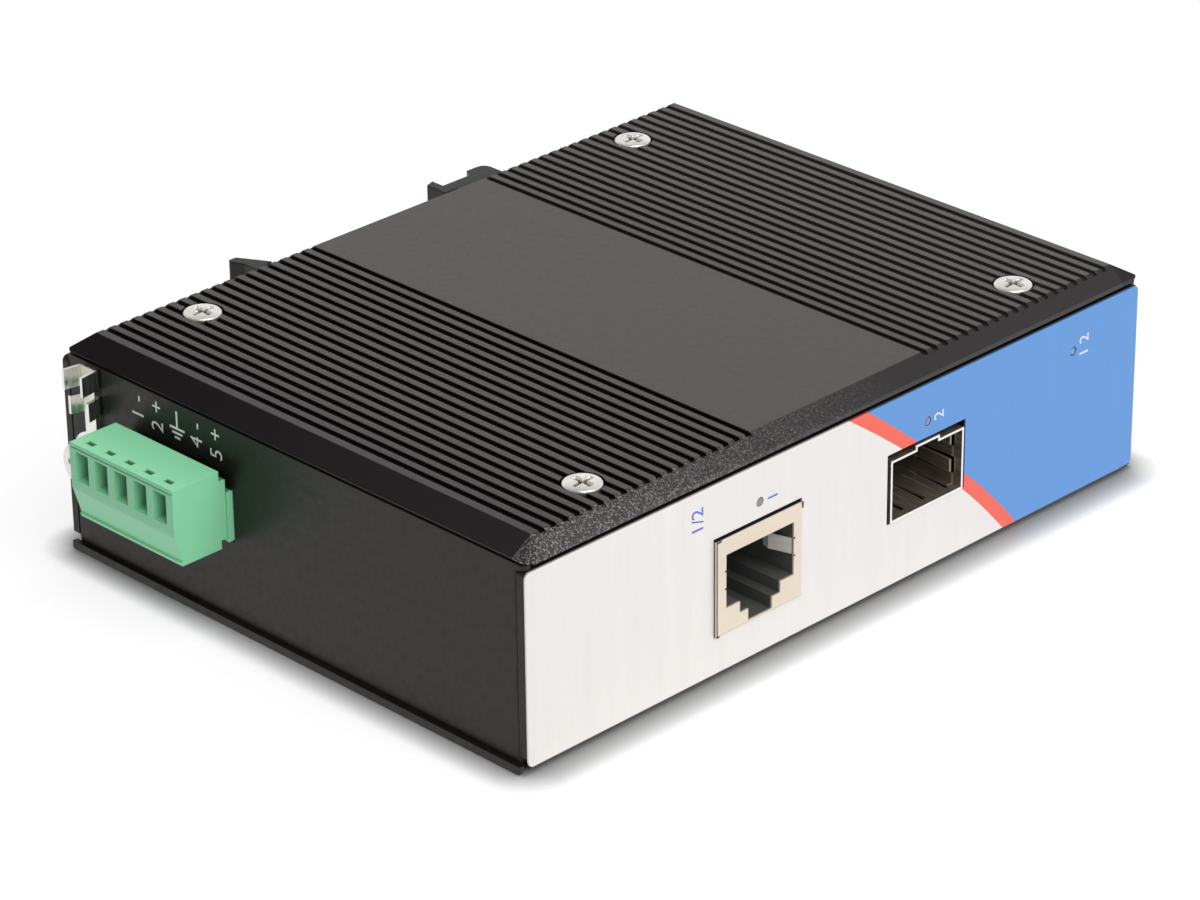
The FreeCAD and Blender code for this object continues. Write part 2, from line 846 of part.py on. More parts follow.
def cover_screw(number, spot):
    """Raised countersunk screw with a cross recess."""
    name = "cover_screw_%d" % number
    seat = d.cover_top - d.pocket_depth
    shank = rod(name + "_shank", "Z", d.screw_radius, spot, seat - d.screw_length,
                seat - d.head_cone + d.seat_gap)
    neck = cone(name + "_cone", "Z", d.screw_radius, d.head_radius, spot, seat - d.head_cone, seat)
    dome_top = seat + d.head_dome
    dome = cone(name + "_dome", "Z", d.head_radius, d.head_dome_radius, spot, seat, dome_top)
    x, y = spot
    half_width = d.recess_width / 2
    half_length = d.recess_length / 2
    depth = (dome_top - d.recess_depth, dome_top + d.sheet)
    first = box(name + "_slot_a", (x - half_length, x + half_length), (y - half_width, y + half_width),
                depth)
    second = box(name + "_slot_b", (x - half_width, x + half_width), (y - half_length, y + half_length),
                 depth)
    return cut(name, fuse(name + "_solid", shank, neck, dome), first, second)


def lower_standoff(number, spot):
    """Hexagon post welded to the base, tapped at the top for the upper post's stud."""
    name = "lower_standoff_%d" % number
    post = hexagon(name + "_post", d.standoff_radius, spot, FLOOR, d.board_underside)
    bore = rod(name + "_bore", "Z", d.screw_radius + d.screw_clearance, spot,
               d.board_underside - d.stud_length - d.bore_extra + d.board_thick, d.board_underside)
    return cut(name, post, bore)


def upper_standoff(number, spot):
    """Hexagon post from the board to the cover, with a stud below and a tapped bore above."""
    name = "upper_standoff_%d" % number
    post = hexagon(name + "_post", d.standoff_radius, spot, BOARD_TOP, CORE_BOTTOM)
    stud = rod(name + "_stud", "Z", d.screw_radius, spot, BOARD_TOP - d.stud_length,
               BOARD_TOP + d.seat_gap)
    screw_tip = d.cover_top - d.pocket_depth - d.screw_length
    bore = rod(name + "_bore", "Z", d.screw_radius + d.screw_clearance, spot, screw_tip - d.seat_gap,
               CORE_BOTTOM)
    return cut(name, fuse(name + "_solid", post, stud), bore)


def each_fixing(name, make):
    return node(group(name, [make(number, spot) for number, spot in enumerate(FIXINGS, start=1)]))


# Copper port


def mouth():
    """Stepped outline of the opening that the cable plug goes into."""
    wide = d.mouth_half_width
    step = d.mouth_step_half
    key = d.mouth_key_half
    x = d.jack_centre
    return polygon(
        (x - key, d.mouth_bottom), (x + key, d.mouth_bottom), (x + key, d.mouth_step),
        (x + step, d.mouth_step), (x + step, d.mouth_shoulder), (x + wide, d.mouth_shoulder),
        (x + wide, d.mouth_top), (x - wide, d.mouth_top), (x - wide, d.mouth_shoulder),
        (x - step, d.mouth_shoulder), (x - step, d.mouth_step), (x - key, d.mouth_step),
    )


def jack_shield():
    """Pressed shell round the insulator, open at the back and towards the board."""
    half = d.jack_width / 2
    body = new_body("jack_shield")
    extrude(body, "shield_block", "XZ_Plane", JACK_FRONT, JACK_BACK,
            rectangle(d.jack_centre - half, d.jack_centre + half, d.jack_bottom, JACK_TOP))
    round_edges(
        body, "shield_edges", d.jack_edge_radius,
        lambda edge: close(edge.BoundBox.YMax, JACK_FRONT) and edge.BoundBox.YLength < NEAR,
    )
    skin = d.jack_skin
    pocket(body, "shield_hollow", "XZ_Plane", JACK_FRONT + skin, JACK_BACK,
           rectangle(d.jack_centre - half + skin, d.jack_centre + half - skin, d.jack_bottom + skin,
                     JACK_TOP - skin))
    pocket(body, "shield_mouth", "XZ_Plane", JACK_FRONT, JACK_FRONT + skin, mouth())
    node(body)


def jack_insulator():
    """Moulded housing inside the shield, with the stepped cavity for the plug."""
    half = d.jack_width / 2 - d.jack_skin - d.seat_gap
    front = JACK_FRONT + d.jack_skin + d.seat_gap
    body = new_body("jack_insulator")
    extrude(body, "insulator_block", "XZ_Plane", front, JACK_BACK - d.mouth_back_margin,
            rectangle(d.jack_centre - half, d.jack_centre + half, d.jack_bottom + d.jack_skin + d.seat_gap,
                      JACK_TOP - d.jack_skin - d.seat_gap))
    pocket(body, "insulator_cavity", "XZ_Plane", front, front + d.mouth_depth, mouth())
    node(body)


def jack_contact(number):
    """Spring wire: flat run under the roof, then a slope down into the cavity."""
    name = "jack_contact_%d" % number
    middle = (d.jack_contact_count - 1) / 2
    x = d.jack_centre + (sized(number) - 1 - middle) * d.jack_contact_pitch
    half = d.jack_contact_width / 2
    start = JACK_FRONT + d.jack_contact_start
    top = d.mouth_top
    thick = d.jack_contact_thick
    tip = start + d.jack_contact_run
    body = new_body(name)
    extrude(
        body, name + "_wire", "YZ_Plane", x - half, x + half,
        polygon(
            (start, top), (start, top - thick), (start + thick, top - thick), (tip, top - d.jack_contact_dip),
            (tip + thick, top - d.jack_contact_dip), (start + thick * 2, top),
        ),
    )
    return body


def jack_contacts():
    count = int(DIMENSIONS["jack_contact_count"])
    return node(group("jack_contacts", [jack_contact(number + 1) for number in range(count)]))


# Optical module port


def cage_leaf(face, wall, lean, along, depth_first):
    """Leaf cut free in the sheet, rooted at its deep end, with its tip towards the mouth bent out of line."""
    tip = along[0] + d.cage_skin
    spots = [(face, along[1]), (face + lean, tip), (face + lean + wall, tip), (face + wall, along[1])]
    if depth_first:
        spots = [(depth, across) for across, depth in spots]
    return polygon(*spots)


def optics_cage():
    """Folded tube for the module: sprung leaves in its sides and floor, a raised tab and legs to the board."""
    skin = d.cage_skin
    x = (CAGE_LEFT, CAGE_RIGHT)
    y = (CAGE_FRONT, CAGE_BACK)
    outer = box("cage_outer", x, y, (d.optics_bottom, CAGE_TOP))
    tab_half = d.cage_tab_width / 2
    tab = box("cage_tab", (d.optics_centre - tab_half, d.optics_centre + tab_half),
              (CAGE_FRONT, CAGE_FRONT + d.cage_tab_depth), (CAGE_TOP - skin, CAGE_TOP + skin * 2))
    pieces = [outer, tab]
    for side, face in (("left", CAGE_LEFT), ("right", CAGE_RIGHT - skin)):
        for number in range(int(DIMENSIONS["cage_leg_count"])):
            start = CAGE_FRONT + d.cage_leg_first + number * d.cage_leg_pitch
            pieces.append(box("cage_leg_%s_%d" % (side, number + 1), (face, face + skin),
                              (start, start + d.cage_leg_width), (CAGE_TOP - skin, BOARD_TOP)))
    solid = fuse("cage_solid", *pieces)
    tab_inner = tab_half - skin
    host_half = d.host_width / 2 + d.seat_gap
    tools = [
        box("cage_hollow", (CAGE_LEFT + skin, CAGE_RIGHT - skin), (CAGE_FRONT - skin, CAGE_BACK - skin),
            (d.optics_bottom + skin, CAGE_TOP - skin)),
        box("cage_tab_hollow", (d.optics_centre - tab_inner, d.optics_centre + tab_inner),
            (CAGE_FRONT - skin, CAGE_FRONT + d.cage_tab_depth - skin), (CAGE_TOP - skin * 2, CAGE_TOP + skin)),
        box("cage_host_opening", (d.optics_centre - host_half, d.optics_centre + host_half),
            (CAGE_BACK - d.host_reach - d.host_depth - d.seat_gap, CAGE_BACK - skin),
            (CAGE_TOP - skin * 2, CAGE_TOP + skin)),
    ]
    side_y = (CAGE_FRONT + d.side_leaf_start, CAGE_FRONT + d.side_leaf_start + d.side_leaf_length)
    floor_y = (CAGE_FRONT + d.floor_leaf_start, CAGE_FRONT + d.floor_leaf_start + d.floor_leaf_length)
    leaves = []
    for side, sign, face in (("left", 1, CAGE_LEFT), ("right", -1, CAGE_RIGHT)):
        for place_name, height in (("lower", d.side_leaf_lower), ("upper", d.side_leaf_upper)):
            tag = "%s_%s" % (side, place_name)
            middle = d.optics_bottom + skin + height
            half = d.side_leaf_height / 2
            tools.append(box("cage_slot_" + tag, (face - skin * 2, face + skin * 2), side_y,
                             (middle - half, middle + half)))
            body = new_body("cage_side_leaf_" + tag)
            extrude(body, "cage_leaf_" + tag, "XY_Plane", middle - half + skin, middle + half - skin,
                    cage_leaf(face, skin * sign, d.side_leaf_lean * sign, side_y, False))
            leaves.append(body)
    for number, across in enumerate(FLOOR_LEAVES, start=1):
        half = d.floor_leaf_width / 2
        tools.append(box("cage_floor_slot_%d" % number, (across - half, across + half), floor_y,
                         (d.optics_bottom - skin, d.optics_bottom + skin * 2)))
        body = new_body("cage_floor_leaf_%d" % number)
        extrude(body, "cage_leaf_floor_%d" % number, "YZ_Plane", across - half + skin, across + half - skin,
                cage_leaf(d.optics_bottom, skin, -d.floor_leaf_lean, floor_y, True))
        leaves.append(body)
    tube = cut("cage_tube", solid, *tools)
    return node(fuse("optics_cage", tube, *leaves))


def optics_host_connector():
    """Board connector at the back of the cage, with the slot for the module's edge."""
    half = d.host_width / 2
    back = CAGE_BACK - d.host_reach
    block = box("host_block", (d.optics_centre - half, d.optics_centre + half), (back - d.host_depth, back),
                (d.board_underside - d.host_height, d.board_underside))
    slot_half = d.host_slot_width / 2
    slot = box("host_slot", (d.optics_centre - slot_half, d.optics_centre + slot_half),
               (back - d.host_depth - d.sheet, back - d.host_depth + d.host_slot_depth),
               (d.host_slot_level, d.host_slot_level + d.host_slot_height))
    return node(cut("optics_host_connector", block, slot))


# Board and what it carries


def lamp(name, across):
    """Side-looking lamp on the board with a lens that ends in its hole."""
    half = d.lamp_width / 2
    front = FRONT_IN + d.board_front_gap
    base = box(name + "_base", (across - half, across + half), (front, front + d.lamp_depth),
               (BOARD_TOP, BOARD_TOP + d.lamp_height))
    lens = rod(name + "_lens", "Y", d.lamp_lens_radius, (across, d.lamp_level),
               -COVER_EDGE + d.lamp_recess, front + d.sheet)
    return node(fuse(name, base, lens))


def circuit_board():
    end = END_IN - d.board_side_gap
    low = FRONT_IN + d.board_front_gap
    high = REAR_IN - d.board_rear_gap
    body = new_body("circuit_board")
    extrude(body, "board_plate", "XY_Plane", d.board_underside, BOARD_TOP, rectangle(-end, end, low, high))
    pocket(body, "board_fixing_holes", "XY_Plane", d.board_underside, BOARD_TOP,
           *[circle(spot, d.screw_radius + d.board_hole_clearance) for spot in FIXINGS])
    tail = header_tail_x()
    half = d.header_pin / 2 + d.pin_hole_clearance
    slots = []
    for along in POLES:
        slots.append(rectangle(tail[0] - d.pin_hole_clearance, tail[1] + d.pin_hole_clearance,
                               along - half, along + half))
    pocket(body, "board_pin_holes", "XY_Plane", d.board_underside, BOARD_TOP, *slots)
    slots = []
    for face in (CAGE_LEFT, CAGE_RIGHT - d.cage_skin):
        for number in range(int(DIMENSIONS["cage_leg_count"])):
            start = CAGE_FRONT + d.cage_leg_first + number * d.cage_leg_pitch
            end = start + d.cage_leg_width
            slots.append(rectangle(face - d.pin_hole_clearance, face + d.cage_skin + d.pin_hole_clearance,
                                   start - d.pin_hole_clearance, end + d.pin_hole_clearance))
    pocket(body, "board_leg_holes", "XY_Plane", d.board_underside, BOARD_TOP, *slots)
    node(body)


def board_block(name, across, along, length, width, low, high):
    """Plain block that stands in for a component on the board."""
    return node(box(name, (across - length / 2, across + length / 2), (along - width / 2, along + width / 2),
                    (low, high)))


def board_parts():
    top = BOARD_TOP
    chip_top = top + d.chip_height
    board_block("switch_chip", d.chip_across, d.chip_along, d.chip_side, d.chip_side, top, chip_top)
    board_block("thermal_pad", d.chip_across, d.chip_along, d.chip_side, d.chip_side, chip_top,
                chip_top + d.pad_thick)
    board_block("optics_driver", d.driver_across, d.driver_along, d.driver_side, d.driver_side, top,
                top + d.driver_height)
    board_block("crystal", d.crystal_across, d.crystal_along, d.crystal_length, d.crystal_width, top,
                top + d.crystal_height)
    board_block("inductor", d.inductor_across, d.inductor_along, d.inductor_side, d.inductor_side, top,
                top + d.inductor_height)
    board_block("transformer_module", d.jack_centre, d.transformer_along, d.transformer_length,
                d.transformer_width, d.board_underside - d.transformer_height, d.board_underside)
    cans = []
    for number in range(int(DIMENSIONS["capacitor_count"])):
        spot = (d.capacitor_across, d.capacitor_first + number * d.capacitor_pitch)
        cans.append(rod("capacitor_%d" % (number + 1), "Z", d.capacitor_radius, spot,
                        d.board_underside - d.capacitor_height, d.board_underside))
    node(group("electrolytic_capacitors", cans))
    half = d.fuse_length / 2
    node(rod("fuse", "X", d.fuse_radius, (d.fuse_along, d.board_underside - d.fuse_radius),
             d.fuse_across - half, d.fuse_across + half))


# Power terminals


def header_tail_x():
    """Low and high X of the upright tails of the header pins."""
    end = HEADER_BACK - d.header_pin_tail
    return (end - d.header_pin, end)


def terminal_header():
    """Shroud that the plug slides into, with a rib groove over each pole."""
    wall = d.header_wall
    x = (HEADER_FACE, HEADER_BACK)
    shell = box("header_shell", x, (HEADER_LOW, HEADER_HIGH), (HEADER_BOTTOM, HEADER_TOP))
    tools = [box("header_hollow", (HEADER_FACE - wall, SHROUD_FLOOR), (HEADER_LOW + wall, HEADER_HIGH - wall),
                 (HEADER_BOTTOM + wall, HEADER_TOP - wall))]
    pin_half = d.header_pin / 2 + d.seat_gap
    key_half = d.header_key_width / 2
    tail = header_tail_x()
    for number, along in enumerate(POLES, start=1):
        tools.append(box("header_bore_%d" % number, (SHROUD_FLOOR - wall, tail[1] + d.seat_gap),
                         (along - pin_half, along + pin_half),
                         (d.header_pin_level - pin_half, d.header_pin_level + pin_half)))
        tools.append(box("header_well_%d" % number, (tail[0] - d.seat_gap, tail[1] + d.seat_gap),
                         (along - pin_half, along + pin_half), (d.header_pin_level, HEADER_TOP + wall)))
        tools.append(box("header_key_%d" % number, (HEADER_FACE - wall, SHROUD_FLOOR),
                         (along - key_half, along + key_half),
                         (HEADER_BOTTOM + wall - d.header_key_depth, HEADER_BOTTOM + wall * 2)))
    return node(cut("terminal_header", shell, *tools))


def terminal_pins():
    """Square pins that turn up through the board."""
    pins = []
    half = d.header_pin / 2
    tail = header_tail_x()
    for number, along in enumerate(POLES, start=1):
        name = "terminal_pin_%d" % number
        flat = box(name + "_blade", (HEADER_FACE + d.header_pin_reach, tail[1]), (along - half, along + half),
                   (d.header_pin_level - half, d.header_pin_level + half))
        tail_part = box(name + "_tail", tail, (along - half, along + half),
                        (d.header_pin_level - half, BOARD_TOP + d.header_pin_tail))
        pins.append(fuse(name, flat, tail_part))
    return node(group("terminal_pins", pins))


PLUG_REAR = HEADER_FACE - d.plug_rear_gap
PLUG_FACE = PLUG_REAR - d.plug_depth
PLUG_LOW = d.terminal_centre - d.plug_width / 2
PLUG_HIGH = d.terminal_centre + d.plug_width / 2
NOSE_TIP = HEADER_FACE + d.nose_length
CHAMBER_X = (PLUG_FACE + d.chamber_outer, PLUG_REAR - d.chamber_inner)
CLAMP_X = (CHAMBER_X[0] + d.seat_gap * 3, CHAMBER_X[0] + d.seat_gap * 3 + d.clamp_run)
CLAMP_AXIS = (CLAMP_X[0] + CLAMP_X[1]) / 2
CLAMP_TOP = d.clamp_bottom + d.clamp_height
BAR_BOTTOM = d.clamp_bottom + d.clamp_floor + d.bar_gap
BAR_TOP = BAR_BOTTOM + d.bar_thick
SCREW_FLOOR = d.plug_bottom + d.clamp_screw_sink


def plug_profile():
    """Side outline of the plug body, with its slanted lower face, foot ledge and top groove."""
    slope = d.plug_slant / (d.plug_slant_level - d.plug_bottom)
    ledge_top = d.plug_bottom + d.plug_ledge_height
    foot = PLUG_FACE + d.plug_slant
    at_ledge = foot - slope * d.plug_ledge_height
    groove = d.plug_groove_level
    return polygon(
        (PLUG_REAR, d.plug_bottom), (foot - d.plug_ledge, d.plug_bottom),
        (at_ledge - d.plug_ledge, ledge_top), (at_ledge, ledge_top),
        (PLUG_FACE, d.plug_slant_level), (PLUG_FACE, groove),
        (PLUG_FACE + d.plug_groove, groove), (PLUG_FACE + d.plug_groove, groove + d.plug_groove),
        (PLUG_FACE, groove + d.plug_groove), (PLUG_FACE, d.plug_top), (PLUG_REAR, d.plug_top),
    )


def terminal_plug():
    """Moulded plug: one chamber, wire window, screw well and contact bore for each pole."""
    body = new_body("plug_body")
    extrude(body, "plug_outline", "XZ_Plane", PLUG_LOW, PLUG_HIGH, plug_profile())
    step_rear = PLUG_REAR + d.plug_step_depth
    step = box("plug_step", (PLUG_REAR - d.seat_gap, step_rear), (PLUG_LOW, PLUG_HIGH),
               (d.plug_step_bottom, d.plug_step_top))
    wall = d.header_wall + d.nose_gap
    nose = box("plug_nose", (step_rear - d.seat_gap, NOSE_TIP), (HEADER_LOW + wall, HEADER_HIGH - wall),
               (HEADER_BOTTOM + wall, HEADER_TOP - wall))
    pieces = [body, step, nose]
    key_half = d.header_key_width / 2 - d.nose_gap
    for number, along in enumerate(POLES, start=1):
        pieces.append(box("plug_rib_%d" % number, (step_rear - d.seat_gap, NOSE_TIP),
                          (along - key_half, along + key_half),
                          (HEADER_BOTTOM + wall - d.header_key_depth, HEADER_BOTTOM + wall + d.seat_gap)))
    solid = fuse("plug_solid", *pieces)
    tools = []
    half = d.chamber_width / 2
    window_half = d.wire_window_width / 2
    notch_half = d.test_notch_width / 2
    notch_x = PLUG_FACE + d.test_notch_inset
    bar_half = d.bar_width / 2 + d.seat_gap
    for number, along in enumerate(POLES, start=1):
        tag = "plug_%d" % number
        band = (along - half, along + half)
        tools.append(box(tag + "_chamber", CHAMBER_X, band,
                         (d.plug_bottom + d.chamber_floor, d.plug_top - d.chamber_roof)))
        tools.append(box(tag + "_window", (PLUG_FACE - d.sheet, CHAMBER_X[0] + d.seat_gap),
                         (along - window_half, along + window_half),
                         (d.wire_window_bottom, d.wire_window_top)))
        tools.append(box(tag + "_notch", (notch_x, notch_x + d.test_notch_depth),
                         (along - notch_half, along + notch_half),
                         (d.wire_window_top - d.seat_gap, d.plug_top + d.sheet)))
        tools.append(rod(tag + "_well", "Z", d.screw_well_radius, (CLAMP_AXIS, along),
                         d.plug_bottom - d.sheet, d.plug_bottom + d.chamber_floor + d.seat_gap))
        tools.append(box(tag + "_bar_slot",
                         (CHAMBER_X[1] - d.seat_gap, PLUG_REAR + d.leaf_thick + d.seat_gap),
                         (along - bar_half, along + bar_half),
                         (BAR_BOTTOM - d.seat_gap, BAR_TOP + d.seat_gap)))
        tools.append(box(tag + "_bore", (PLUG_REAR - d.leaf_thick - d.seat_gap * 2, NOSE_TIP + d.sheet),
                         (along - d.socket_half_width, along + d.socket_half_width),
                         (d.header_pin_level - d.socket_half_height,
                          d.header_pin_level + d.socket_half_height)))
    return node(cut("terminal_plug", solid, *tools))


def plug_contact(number, along):
    """Flat bar under the wire that ends in a leaf lying on the header pin."""
    name = "plug_contact_%d" % number
    half = d.bar_width / 2
    leaf_half = d.leaf_width / 2
    leaf_low = d.header_pin_level + d.header_pin / 2 + d.seat_gap
    bar = box(name + "_bar", (CLAMP_X[0] + d.seat_gap, PLUG_REAR - d.seat_gap), (along - half, along + half),
              (BAR_BOTTOM, BAR_TOP))
    drop = box(name + "_drop", (PLUG_REAR - d.seat_gap - d.leaf_thick, PLUG_REAR + d.leaf_thick),
               (along - leaf_half, along + leaf_half), (leaf_low, BAR_TOP))
    leaf = box(name + "_leaf", (PLUG_REAR, NOSE_TIP - d.leaf_thick), (along - leaf_half, along + leaf_half),
               (leaf_low, leaf_low + d.leaf_thick))
    return fuse(name, bar, drop, leaf)


def clamp_cage(number, along):
    """Frame round the wire and the bar, tapped below for its screw."""
    name = "clamp_cage_%d" % number
    half = d.clamp_width / 2
    block = box(name + "_block", CLAMP_X, (along - half, along + half), (d.clamp_bottom, CLAMP_TOP))
    inner = half - d.clamp_wall
    opening = box(name + "_opening", (CLAMP_X[0] - d.sheet, CLAMP_X[1] + d.sheet),
                  (along - inner, along + inner), (d.clamp_bottom + d.clamp_floor, CLAMP_TOP - d.clamp_lid))
    bore = rod(name + "_bore", "Z", d.clamp_screw_radius + d.clamp_bore_clearance, (CLAMP_AXIS, along),
               d.clamp_bottom - d.sheet, d.clamp_bottom + d.clamp_floor + d.seat_gap)
    return node(cut(name, block, opening, bore))


def clamp_screw(number, along):
    """Captive slotted screw whose head faces down."""
    name = "clamp_screw_%d" % number
    spot = (CLAMP_AXIS, along)
    head_top = SCREW_FLOOR + d.clamp_screw_head
    head = rod(name + "_head", "Z", d.clamp_screw_head_radius, spot, SCREW_FLOOR, head_top)
    shank = rod(name + "_shank", "Z", d.clamp_screw_radius, spot, head_top - d.seat_gap,
                BAR_BOTTOM - d.seat_gap)
    half = d.clamp_slot / 2
    reach = d.clamp_screw_head_radius + d.sheet
    slot = box(name + "_slot", (CLAMP_AXIS - reach, CLAMP_AXIS + reach), (along - half, along + half),
               (SCREW_FLOOR - d.sheet, SCREW_FLOOR + d.clamp_slot_depth))
    return node(cut(name, fuse(name + "_solid", head, shank), slot))


def terminal_inside():
    node(group("plug_contacts", [plug_contact(number, along) for number, along in enumerate(POLES, start=1)]))
    for number, along in enumerate(POLES, start=1):
        clamp_cage(number, along)
        clamp_screw(number, along)


# Earth point


def barrel(name, low, high, reach):
    """Open crimp barrel: a flat back with two wings that stand out from the wall."""
    back = -HALF - d.lug_thick
    half = d.barrel_half_width
    wing = d.barrel_wing
    body = new_body(name)
    extrude(
        body, name + "_section", "XY_Plane", low, high,
        polygon(
            (-HALF, d.earth_along - half + wing), (-HALF, d.earth_along + half - wing),
            (back + wing, d.earth_along + half), (-HALF - reach, d.earth_along + half + wing),
            (-HALF - reach, d.earth_along + half), (back, d.earth_along + half - wing),
            (back, d.earth_along - half + wing), (-HALF - reach, d.earth_along - half),
            (-HALF - reach, d.earth_along - half - wing), (back + wing, d.earth_along - half),
        ),
    )
    return body


def earth_lug():
    """Ring lug with an open wire barrel and an open grip barrel, not yet crimped."""
    back = (-HALF - d.lug_thick, -HALF)
    spot = (d.earth_along, d.earth_level)
    neck_half = d.lug_neck_width / 2
    ring = rod("lug_ring", "X", d.lug_ring_radius, spot, *back)
    neck = box("lug_neck", back, (d.earth_along - neck_half, d.earth_along + neck_half),
               (d.earth_level, d.grip_barrel_top - d.sheet))
    wire = barrel("lug_wire_barrel", d.wire_barrel_bottom, d.wire_barrel_top, d.wire_barrel_reach)
    grip = barrel("lug_grip_barrel", d.grip_barrel_bottom, d.grip_barrel_top, d.grip_barrel_reach)
    hole = rod("lug_hole", "X", d.earth_screw_radius + d.screw_clearance, spot,
               back[0] - d.sheet, back[1] + d.sheet)
    return node(cut("earth_lug", fuse("lug_solid", ring, neck, wire, grip), hole))


def earth_fastening():
    """Lock washer, screw and the nut pressed into the wall's inner side."""
    spot = (d.earth_along, d.earth_level)
    lug_face = -HALF - d.lug_thick
    washer_face = lug_face - d.washer_thick
    bore = d.earth_screw_radius + d.screw_clearance
    disc = rod("washer_disc", "X", d.washer_radius, spot, washer_face, lug_face)
    hole = rod("washer_hole", "X", bore, spot, washer_face - d.sheet, lug_face + d.sheet)
    split = box("washer_split", (washer_face - d.sheet, lug_face + d.sheet),
                (d.earth_along, d.earth_along + d.recess_width),
                (d.earth_level, d.earth_level + d.washer_radius + d.sheet))
    node(cut("earth_washer", disc, hole, split))
    head_face = washer_face - d.earth_head_height
    head = rod("earth_head", "X", d.earth_head_radius, spot, head_face, washer_face)
    shank = rod("earth_shank", "X", d.earth_screw_radius, spot, washer_face - d.seat_gap,
                washer_face + d.earth_screw_reach)
    half = d.recess_width / 2
    reach = d.recess_length / 2 + half
    depth = (head_face - d.sheet, head_face + d.recess_depth)
    y, z = spot
    first = box("earth_slot_a", depth, (y - reach, y + reach), (z - half, z + half))
    second = box("earth_slot_b", depth, (y - half, y + half), (z - reach, z + reach))
    node(cut("earth_screw", fuse("earth_screw_solid", head, shank), first, second))
    nut = rod("nut_block", "X", d.nut_radius, spot, -END_IN, d.nut_height - END_IN)
    nut_hole = rod("nut_hole", "X", bore, spot, -HALF, d.nut_height - END_IN + d.sheet)
    node(cut("earth_nut", nut, nut_hole))


# Rail clip

CLIP_FACE = REAR_OUT + d.clip_base
THROAT = d.rail_half_width + d.rail_clearance
HOOK_UNDER = CLIP_FACE + d.rail_flange_gap
HOOK_TOP = HOOK_UNDER + d.hook_lip_thick
CHANNEL_Z = (CLIP_MIDDLE - d.channel_half_width, CLIP_MIDDLE + d.channel_half_width)
SLIDER_BACK = REAR_OUT + d.channel_floor + d.slider_gap
SLIDER_Y = (SLIDER_BACK, SLIDER_BACK + d.slider_thick)
SLIDER_Z = (CHANNEL_Z[0] + d.slider_gap, CHANNEL_Z[1] - d.slider_gap)
SLOT_Z = (CHANNEL_Z[0] + d.channel_lip, CHANNEL_Z[1] - d.channel_lip)
SPRING_ROOM = d.spring_radius + d.spring_side_gap
SPRING_Z = (CLIP_MIDDLE - SPRING_ROOM, CLIP_MIDDLE + SPRING_ROOM)


def rail_clip_body():
    """Moulded clip: base on the rail wall, fixed hook with ridge and bump, and the slider's channel."""
    lip = THROAT - d.hook_lip_reach
    ridge = lip + d.hook_ridge_width
    ridge_top = HOOK_TOP + d.hook_ridge_height
    bump = d.clip_right - d.hook_bump_width
    bump_top = HOOK_TOP + d.hook_bump_height
    body = new_body("clip_moulding")
    extrude(
        body, "clip_section", "XY_Plane", d.clip_bottom, d.clip_top,
        polygon(
            (d.clip_left, REAR_OUT), (d.clip_right, REAR_OUT), (d.clip_right, bump_top), (bump, bump_top),
            (bump - d.hook_bump_run, HOOK_TOP), (ridge, HOOK_TOP), (ridge, ridge_top),
            (lip, ridge_top - d.hook_ridge_slope), (lip, HOOK_UNDER), (THROAT, HOOK_UNDER),
            (THROAT, CLIP_FACE), (d.clip_left, CLIP_FACE),
        ),
    )
    round_edges(
        body, "clip_bump_round", d.hook_bump_height,
        lambda edge: runs_along(edge, "Z") and close(edge.BoundBox.YMin, bump_top)
        and close(edge.BoundBox.XMin, d.clip_right),
    )
    pocket(
        body, "clip_channel", "XY_Plane", CHANNEL_Z[0], CHANNEL_Z[1],
        rectangle(d.clip_left - d.sheet, d.slider_inner + d.slider_gap, REAR_OUT + d.channel_floor,
                  SLIDER_Y[1] + d.slider_gap),
    )
    pocket(
        body, "clip_slot", "XY_Plane", SLOT_Z[0], SLOT_Z[1],
        rectangle(d.clip_left - d.sheet, d.slider_inner + d.slider_gap, SLIDER_Y[0], CLIP_FACE + d.sheet),
    )
    post = box("clip_spring_post", (d.spring_seat - d.spring_post_width, d.spring_seat),
               (REAR_OUT, SLIDER_Y[1]), SPRING_Z)
    tools = []
    for number, (across, level) in enumerate(CLIP_SPOTS, start=1):
        radius = d.clip_screw_radius + d.through_clearance
        head = d.clip_screw_head_radius + d.through_clearance
        tools.append(rod("clip_hole_%d" % number, "Y", radius, (across, level), REAR_OUT - d.sheet,
                         CLIP_FACE))
        tools.append(cone("clip_sink_%d" % number, "Y", radius, head, (across, level),
                          CLIP_FACE - head + radius, CLIP_FACE))
    return node(cut("rail_clip_body", fuse("clip_solid", body, post), *tools))


